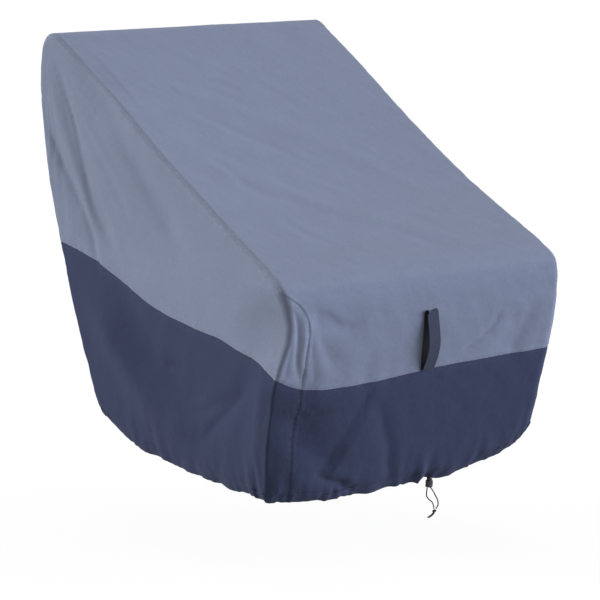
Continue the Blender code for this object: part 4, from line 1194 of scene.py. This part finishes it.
def spread(tree, value, low, high, to_low, to_high):
    inputs = {"Value": value, "From Min": low, "From Max": high, "To Min": to_low, "To Max": to_high}
    return node(tree, "ShaderNodeMapRange", inputs).outputs["Result"]


def noise_node(tree, vector, scale, detail=3.0, rough=0.55):
    inputs = {"Vector": vector, "Scale": scale, "Detail": detail, "Roughness": rough}
    return node(tree, "ShaderNodeTexNoise", inputs).outputs["Fac"]


def slub_noise(tree, cloth, along):
    stretched = node(tree, "ShaderNodeVectorMath", {0: cloth, 1: along}, operation="MULTIPLY")
    return noise_node(tree, stretched.outputs[0], 1.0, 2.0)


def attribute(tree, name, output="Fac"):
    return node(tree, "ShaderNodeAttribute", attribute_name=name).outputs[output]


def object_place(tree):
    return node(tree, "ShaderNodeTexCoord").outputs["Object"]


def split(tree, vector):
    return node(tree, "ShaderNodeSeparateXYZ", {0: vector}).outputs


def set_colour(tree, shader, colour, shade):
    """Makes the base colour a colour times a shade."""
    toned = node(tree, "ShaderNodeVectorMath", {0: colour, "Scale": shade}, operation="SCALE")
    tree.links.new(toned.outputs[0], shader.inputs["Base Color"])


def bump(tree, height, strength, distance, **below):
    inputs = {"Height": height, "Strength": strength, "Distance": distance, **below}
    return node(tree, "ShaderNodeBump", inputs).outputs["Normal"]


def cloth_material(name, colour, rubbed, roughness, sheen):
    """Coated plain-weave polyester: threads, slubs, soft mottling, and paler rubbed edges."""
    material, tree, shader = principled(name, colour, roughness, sheen=sheen, specular=0.08)
    cloth = attribute(tree, "cloth", "Vector")
    along, up, _ = split(tree, cloth)
    weave = product(tree, waves(tree, along, THREAD_PITCH), waves(tree, up, THREAD_PITCH))
    slub_one = slub_noise(tree, cloth, (900.0, 60.0, 1.0))
    slub_two = slub_noise(tree, cloth, (60.0, 900.0, 1.0))
    slubs = maths(tree, "ADD", slub_one, slub_two)
    mottle = noise_node(tree, cloth, 14.0, 4.0, 0.6)
    grain = noise_node(tree, cloth, 160.0, 3.0, 0.6)
    shade = product(
        tree,
        spread(tree, weave, -1.0, 1.0, 0.94, 1.06),
        spread(tree, slubs, 0.7, 1.3, 0.95, 1.05),
        spread(tree, mottle, 0.3, 0.7, 0.965, 1.035),
        spread(tree, grain, 0.3, 0.7, 0.97, 1.03),
    )
    worn = spread(tree, grain, 0.45, 0.65, 0.0, 0.35)
    rub = maths(tree, "MULTIPLY", attribute(tree, "wear"), worn, clamp=True)
    # Sockets 6 and 7 of a Mix node are its colours. They share their names with other sockets.
    inputs = {"Factor": rub, 6: (*colour, 1), 7: (*rubbed, 1)}
    mixed = node(tree, "ShaderNodeMix", inputs, data_type="RGBA")
    set_colour(tree, shader, mixed.outputs[2], shade)
    uneven = spread(tree, mottle, 0.3, 0.7, roughness - 0.05, roughness + 0.05)
    tree.links.new(uneven, shader.inputs["Roughness"])
    height = maths(tree, "ADD", product(tree, weave, 0.5), product(tree, slubs, 0.6))
    fine = bump(tree, height, 0.35, 0.00018)
    broad = bump(tree, noise_node(tree, cloth, 55.0, 3.0, 0.5), 0.5, 0.0012, Normal=fine)
    tree.links.new(broad, shader.inputs["Normal"])
    return material


def thread_material(name, colour):
    material, tree, shader = principled(name, colour, 0.6, sheen=0.2)
    twist = noise_node(tree, object_place(tree), 2500.0, 2.0)
    set_colour(tree, shader, colour, spread(tree, twist, 0.3, 0.7, 0.75, 1.2))
    return material


def webbing_material(name, colour):
    """Ribbed webbing: ribs across it in a herringbone, and painted shade that darkens it where the loop's
    layers face each other.
    """
    material, tree, shader = principled(name, colour, 0.70, sheen=0.04, specular=0.15)
    cloth = attribute(tree, "cloth", "Vector")
    across, along, _ = split(tree, cloth)
    zigzag = maths(tree, "PINGPONG", across, 0.0025)
    ribs = waves(tree, maths(tree, "ADD", along, zigzag), 0.0016)
    height = maths(tree, "ADD", ribs, product(tree, waves(tree, across, 0.0014), 0.5))
    # The shade's last factor is painted shade: the colour falls to a fifth on the loop's back layer and on
    # the faces turned toward the other layer.
    shade = product(
        tree,
        spread(tree, height, -1.5, 1.5, 0.80, 1.18),
        spread(tree, noise_node(tree, cloth, 300.0, 3.0), 0.3, 0.7, 0.9, 1.1),
        spread(tree, attribute(tree, "loop_painted_shade"), 0.0, 1.0, 1.0, 0.2),
    )
    set_colour(tree, shader, colour, shade)
    tree.links.new(bump(tree, height, 0.6, 0.0003), shader.inputs["Normal"])
    return material


def cord_material(name, colour):
    """Round braided cord: crossing strands at the braid's scale."""
    material, tree, shader = principled(name, colour, 0.7, sheen=0.3)
    place = object_place(tree)
    across, _, up = split(tree, place)
    lean = product(tree, across, 1.1)
    one, two = (waves(tree, maths(tree, kind, up, lean), BRAID_PITCH) for kind in ("ADD", "SUBTRACT"))
    braid = product(tree, one, two)
    fuzz = spread(tree, noise_node(tree, place, 900.0, 3.0), 0.3, 0.7, 0.8, 1.2)
    set_colour(tree, shader, colour, product(tree, spread(tree, braid, -1, 1, 0.7, 1.3), fuzz))
    tree.links.new(bump(tree, braid, 0.6, 0.0003), shader.inputs["Normal"])
    return material


def plastic_material(name, colour):
    """Moulded black plastic with a fine spark texture."""
    material, tree, shader = principled(name, colour, 0.42, specular=0.5)
    place = object_place(tree)
    wide = noise_node(tree, place, 140.0, 3.0)
    tree.links.new(spread(tree, wide, 0.3, 0.7, 0.34, 0.52), shader.inputs["Roughness"])
    set_colour(tree, shader, colour, spread(tree, wide, 0.3, 0.7, 0.85, 1.25))
    grain = noise_node(tree, place, 1800.0, 3.0)
    tree.links.new(bump(tree, grain, 0.25, 0.0002), shader.inputs["Normal"])
    return material


PALE = cloth_material("pale_polyester", (0.200, 0.232, 0.328), (0.29, 0.33, 0.42), 0.80, 0.04)
DARK = cloth_material("navy_polyester", (0.0422, 0.0525, 0.1045), (0.076, 0.089, 0.152), 0.85, 0.0)
PALE_THREAD = thread_material("pale_thread", (0.17, 0.20, 0.28))
DARK_THREAD = thread_material("navy_thread", (0.035, 0.042, 0.075))
WEBBING = webbing_material("strap_webbing", (0.040, 0.050, 0.088))
CORD = cord_material("braided_cord", (0.022, 0.022, 0.024))
PLASTIC = plastic_material("lock_moulding", (0.012, 0.012, 0.014))

# ---------------------------------------------------------------- the camera

camera_data = bpy.data.cameras.new("camera")
camera = new_object("camera", camera_data)
camera.location = CAMERA_PLACE
camera.rotation_euler = (math.radians(90 - CAMERA_DOWN), 0, math.radians(-CAMERA_ROUND))
camera_data.lens = CAMERA_LENS
camera_data.sensor_width = 36
camera_data.clip_end = 80
bpy.context.scene.camera = camera

# ---------------------------------------------------------------- the cord and its lock


def lock_point(across, up, deep=0.0):
    """A point of the cord lock from its own centre, with its lean."""
    x, y, z = LOCK_PLACE
    cos, sin = math.cos(LOCK_LEAN), math.sin(LOCK_LEAN)
    return np.array((x + across * cos - up * sin, y + deep, z + across * sin + up * cos))


def cord_curve(name, route):
    """A hanging length of round cord through the route's points: the piece, its length and its start."""
    route = np.array(route)
    lengths = lengths_along(route)
    at = np.linspace(0, lengths[-1], 40)
    path = np.stack([smooth_read(at, lengths, route[:, axis]) for axis in range(3)], axis=-1)
    curve = bpy.data.curves.new(name, "CURVE")
    curve.dimensions = "3D"
    curve.bevel_depth = CORD_RADIUS
    curve.bevel_resolution = 5
    curve.use_fill_caps = True
    spline = curve.splines.new("POLY")
    spline.points.add(len(path) - 1)
    for point, place in zip(spline.points, path):
        point.co = (*map(float, place), 1)
    spline.use_smooth = True
    return new_object(name, curve, CORD), float(lengths[-1]), tuple(map(float, path[0]))


def knot_piece():
    """An overhand knot in the doubled cord, with its short tail."""
    turns = np.linspace(0, 2 * math.pi, 90)
    across = np.sin(turns) + 2 * np.sin(2 * turns)
    loop = stacked(across, -1.3 * np.sin(3 * turns), np.cos(turns) - 2 * np.cos(2 * turns))
    loop = KNOT_PLACE + loop * KNOT_SIZE + (0.0, 0.0, -0.0005)
    tail = KNOT_PLACE + np.array(KNOT_TAIL)
    second = tail[:-1] + (0.0004, -0.0016, -0.0012)
    whip = KNOT_PLACE + np.array([(-0.0155, -0.0003, -0.0107), (-0.0180, -0.0002, -0.0114)])
    paths = ((loop, 0.95), (tail, 1), (second, 0.9), (whip, 1.12))
    parts = [tube(path, CORD_RADIUS * size, 12) for path, size in paths]
    return new_object("knot", mesh_from("knot", *joined(parts), sharp=60), CORD)


def ringed(outline, depth, ribs):
    """A form turned about the lock's axis, squashed front to back, with ribs cut into it."""
    points = []
    for up, radius, ribbed in outline:
        for angle in 2 * math.pi * np.arange(LOCK_STEPS) / LOCK_STEPS:
            reach = radius - depth * ribbed * (0.5 - 0.5 * math.cos(angle * ribs))
            deep = LOCK_SQUASH * reach * math.sin(angle)
            points.append(lock_point(reach * math.cos(angle), up, deep))
    return np.array(points), tube_faces(len(outline), LOCK_STEPS)


def cord_lock_piece():
    """A barrel cord lock: ribbed body with rolled rims, and a domed spring button on top."""
    parts = [ringed(LOCK_BODY, 0.0007, 18), ringed(LOCK_BUTTON, 0.0004, 24)]
    for side in (-LOCK_HOLE, LOCK_HOLE):
        hole = [lock_point(side, LOCK_BOTTOM - 0.0002), lock_point(side, LOCK_BOTTOM + 0.0012)]
        parts.append(tube(hole, 0.0019, 20))
    return new_object("cord_lock_body", mesh_from("cord_lock_body", *joined(parts), sharp=40), PLASTIC)


knot = knot_piece()
lock = cord_lock_piece()
cords = []
for name, side, route, end in (
    ("cord_strand_left", -LOCK_HOLE, LEFT_CORD, (-0.0012, 0.0, 0.0052)),
    ("cord_strand_right", LOCK_HOLE, RIGHT_CORD, (0.0046, 0.0, 0.0040)),
):
    start = lock_point(side, LOCK_BOTTOM - CORD_GAP)
    cords.append(cord_curve(name, [start, *route, KNOT_PLACE + end]))

# ---------------------------------------------------------------- the cloth

upper_left, left_border = upper_side_sheets(-1.0)
upper_right, right_border = upper_side_sheets(1.0)
SEAMS["left"] = seam_line(-1.0)
SEAMS["right"] = seam_line(1.0)
SEAMS["border"] = border_line(left_border, right_border)

CLOTHS = [
    # name, CAD node, panel, sheets, flat width and length, area where the cut isn't a rectangle
    ("cloth_top", "top_panel", "top", [strip_grid(top_rows)], (0.735, 1.70), None),
    ("cloth_side_upper_left", "side_upper_left", "side_upper", upper_left, (0.95, 0.66), 0.305),
    ("cloth_side_upper_right", "side_upper_right", "side_upper", upper_right, (0.95, 0.66), 0.300),
    ("cloth_side_lower_left", "side_lower_left", "side_lower",
     lower_side_sheets(-1.0, left_border), (0.90, 0.42), 0.290),
    ("cloth_side_lower_right", "side_lower_right", "side_lower",
     lower_side_sheets(1.0, right_border), (0.90, 0.42), 0.270),
    ("cloth_front_lower", "front_lower", "strip_lower", [strip_grid(front_rows)], (0.70, 0.28), None),
    ("cloth_back_lower", "back_lower", "strip_lower", [strip_grid(back_rows)], (0.73, 0.40), None),
]


def placed(piece, node=None):
    """Puts a piece on the one body, and in the place of a CAD node."""
    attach(piece, "root")
    if node:
        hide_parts(node)


cloth_pieces = []
for name, cad, panel, sheets, _, _ in CLOTHS:
    dark = panel in LOWER_PANELS
    cloth_pieces.append(cloth_piece(name, sheets, panel, DARK if dark else PALE))
    placed(cloth_pieces[-1], cad)

# ---------------------------------------------------------------- stitches


def laid_stitches(line, normals):
    """A row of lockstitches along a line of the finished cloth."""
    chord = lengths_along(line)
    parts = []
    for start in np.arange(int(chord[-1] / (STITCH + STITCH_GAP))) * (STITCH + STITCH_GAP):
        at = start + STITCH * np.linspace(0, 1, len(STITCH_RISE))
        centre, out = (
            np.stack([np.interp(at, chord, values[:, axis]) for axis in range(3)], axis=-1)
            for values in (line, normals)
        )
        out = unit(out)
        centre = centre + out * np.array(STITCH_RISE)[:, None]
        side = np.cross(out, unit(centre[-1] - centre[0]))
        parts.append(swept(centre, side, out, circle(1, 6), STITCH_RADIUS * np.array(STITCH_TAPER)))
    return joined(parts)


def stitches_on(points, normals, panel, above=NO_HEM):
    """A row of stitches where the finished cloth has carried this line of the plain surface."""
    return laid_stitches(shaped(points, normals, np.full(len(points), above), panel)[0], normals)


def grid_row_line(sheets, height):
    """The line of the plain surface at a height above the hem across a lower panel, and its normals."""
    points, normals, above, _ = sheets[0]
    return [
        np.array(
            [
                [np.interp(height, above[:, col], values[:, col, axis]) for axis in range(3)]
                for col in range(points.shape[1])
            ]
        )
        for values in (points, normals)
    ]


def add_stitches(name, parts, material):
    placed(new_object(name, mesh_from(name, *joined(parts), sharp=80), material))


seam_runs = np.linspace(run_at_back(SEAM_END_BACK), run_at_front(SEAM_END_FRONT), 900)
pale_rows = []
for side in (-1.0, 1.0):
    line = on_section(seam_runs, side * (seam_across(seam_runs, side) - STITCH_INSET))
    pale_rows.append(stitches_on(*line, "top"))
border_rows = []
for at_front in (True, False):
    x = np.linspace(-BORDER_STITCH_REACH, BORDER_STITCH_REACH, 400)
    run = border_run(x, at_front) + (-STITCH_INSET if at_front else STITCH_INSET)
    border_rows.append(stitches_on(*on_section(run, x), "top"))
for border, sign in ((left_border, -1.0), (right_border, 1.0)):
    border_rows.append(stitches_on(*side_surface(border + [0, STITCH_INSET], sign), "side_upper"))
add_stitches("stitches_seams", pale_rows, PALE_THREAD)
add_stitches("stitches_border", border_rows, PALE_THREAD)
hem_rows = []
for _, _, panel, sheets, _, _ in CLOTHS:
    if panel in LOWER_PANELS:
        hem_rows.append(stitches_on(*grid_row_line(sheets, CASING), panel, CASING))
add_stitches("stitches_hem", hem_rows, DARK_THREAD)

# ---------------------------------------------------------------- the strap


def front_y(x, z):
    """Where the finished front lies at this place."""
    points, normals = on_section(run_at_front(np.array([z])), np.array([x]))
    return shaped(points, normals, np.full(1, NO_HEM), "top")[0][0][1]


def handle_path():
    """The loop's path as (distance out from the front, z, sideways shift): up the front, then down."""
    rise = HANDLE_TOP - HANDLE_BOTTOM
    back = stacked(BACK_LAYER_OUT, HANDLE_BOTTOM + rise * np.linspace(0, 1, LAYER_POINTS), HANDLE_BACK_SHIFT)
    turn = np.array([(out, HANDLE_TOP + up, HANDLE_BACK_SHIFT * shift) for out, up, shift in HANDLE_TURN])
    down = np.linspace(0, 1, 60)
    bow = HANDLE_BOW * np.sin(math.pi * down**1.2) ** 1.1
    out = FRONT_LAYER_OUT - FRONT_LAYER_IN * down + bow
    front = stacked(out, HANDLE_TOP - TURN_DROP - (rise - TURN_DROP) * down, 0)
    return np.concatenate([back, turn, front])


def strap_outline():
    """The webbing's section, with its thick rounded selvedges."""
    half = HANDLE_WIDTH / 2
    thick = HANDLE_THICKNESS / 2
    right = [(half - inset, thick * share) for inset, share in SELVEDGE]
    inner = np.linspace(half - SELVEDGE_WIDTH, -half + SELVEDGE_WIDTH, 15)
    low = [(a, -thick * 0.9) for a in inner]
    return right + low + [(-a, b) for a, b in right[::-1]] + [(-a, thick * 0.9) for a in inner]


def strap_piece():
    """The webbing loop: one layer flat on the front, one bowed out."""
    path = handle_path()
    base = np.array([front_y(HANDLE_X, height) for height in path[:, 1]])
    base = np.convolve(np.pad(base, 3, mode="edge"), np.ones(7) / 7, mode="valid")
    centre = stacked(HANDLE_X + path[:, 2], base - path[:, 0], path[:, 1])
    along = unit(np.gradient(centre, axis=0))
    side = np.tile((1.0, 0.0, 0.0), (len(centre), 1))
    side = unit(side - along * np.sum(side * along, axis=1)[:, None])
    outline = strap_outline()
    points, faces = swept(centre, side, np.cross(side, along), outline)
    across = np.tile([a for a, _ in outline], len(centre))
    cloth = stacked(across, np.repeat(lengths_along(centre), len(outline)), 0)
    # Painted shade: the back layer and the faces turned toward the other layer are marked, and the webbing's
    # colour is darkened there.
    facing_in = np.array([b > 0 for _, b in outline] * len(centre))
    layer = np.repeat(np.arange(len(centre)) < LAYER_POINTS, len(outline))
    attributes = {"cloth": cloth, "loop_painted_shade": np.where(facing_in | layer, 1.0, 0.0)}
    mesh = mesh_from("strap_loop", points, faces, attributes, sharp=60)
    return outward_facing(new_object("strap_loop", mesh, WEBBING))


strap = strap_piece()

for piece, cad, slot in (
    (knot, "cord_knot", "cord"),
    (lock, "cord_lock", "lock_plastic"),
    (cords[0][0], "drawcord_left", "cord"),
    (cords[1][0], "drawcord_right", "cord"),
    (strap, "handle_strap", "webbing"),
):
    placed(piece, cad)

# ---------------------------------------------------------------- floor and light

corners = [(x * FLOOR_REACH, y * FLOOR_REACH, FLOOR_Z) for x, y in ((-1, -1), (1, -1), (1, 1), (-1, 1))]
floor_material, _, floor_shader = principled("floor_white", (0.08, 0.08, 0.08), 0.9, specular=0.0)
floor_shader.inputs["Emission Color"].default_value = (1, 1, 1, 1)
floor_shader.inputs["Emission Strength"].default_value = FLOOR_GLOW
floor = new_object("floor", mesh_from("floor", corners, [[0, 1, 2, 3]]), floor_material)
# The glowing floor stands for a lit sweep, so it isn't one more lamp under the cover.
floor.visible_diffuse = False

world = bpy.data.worlds.new("studio")
bpy.context.scene.world = world
world.use_nodes = True
world.node_tree.nodes["Background"].inputs["Color"].default_value = (1.0, 1.0, 1.0, 1)
world.node_tree.nodes["Background"].inputs["Strength"].default_value = WORLD_LIGHT

for name, direction, strength, fills, colour in LIGHTS:
    data = bpy.data.lights.new(name, "SUN")
    data.energy = strength
    data.color = colour
    data.angle = math.radians(fills)
    light = new_object(name, data)
    light.rotation_euler = Vector(direction).to_track_quat("Z", "Y").to_euler()

scene = bpy.context.scene
scene.view_settings.view_transform = "Standard"
scene.view_settings.look = "None"
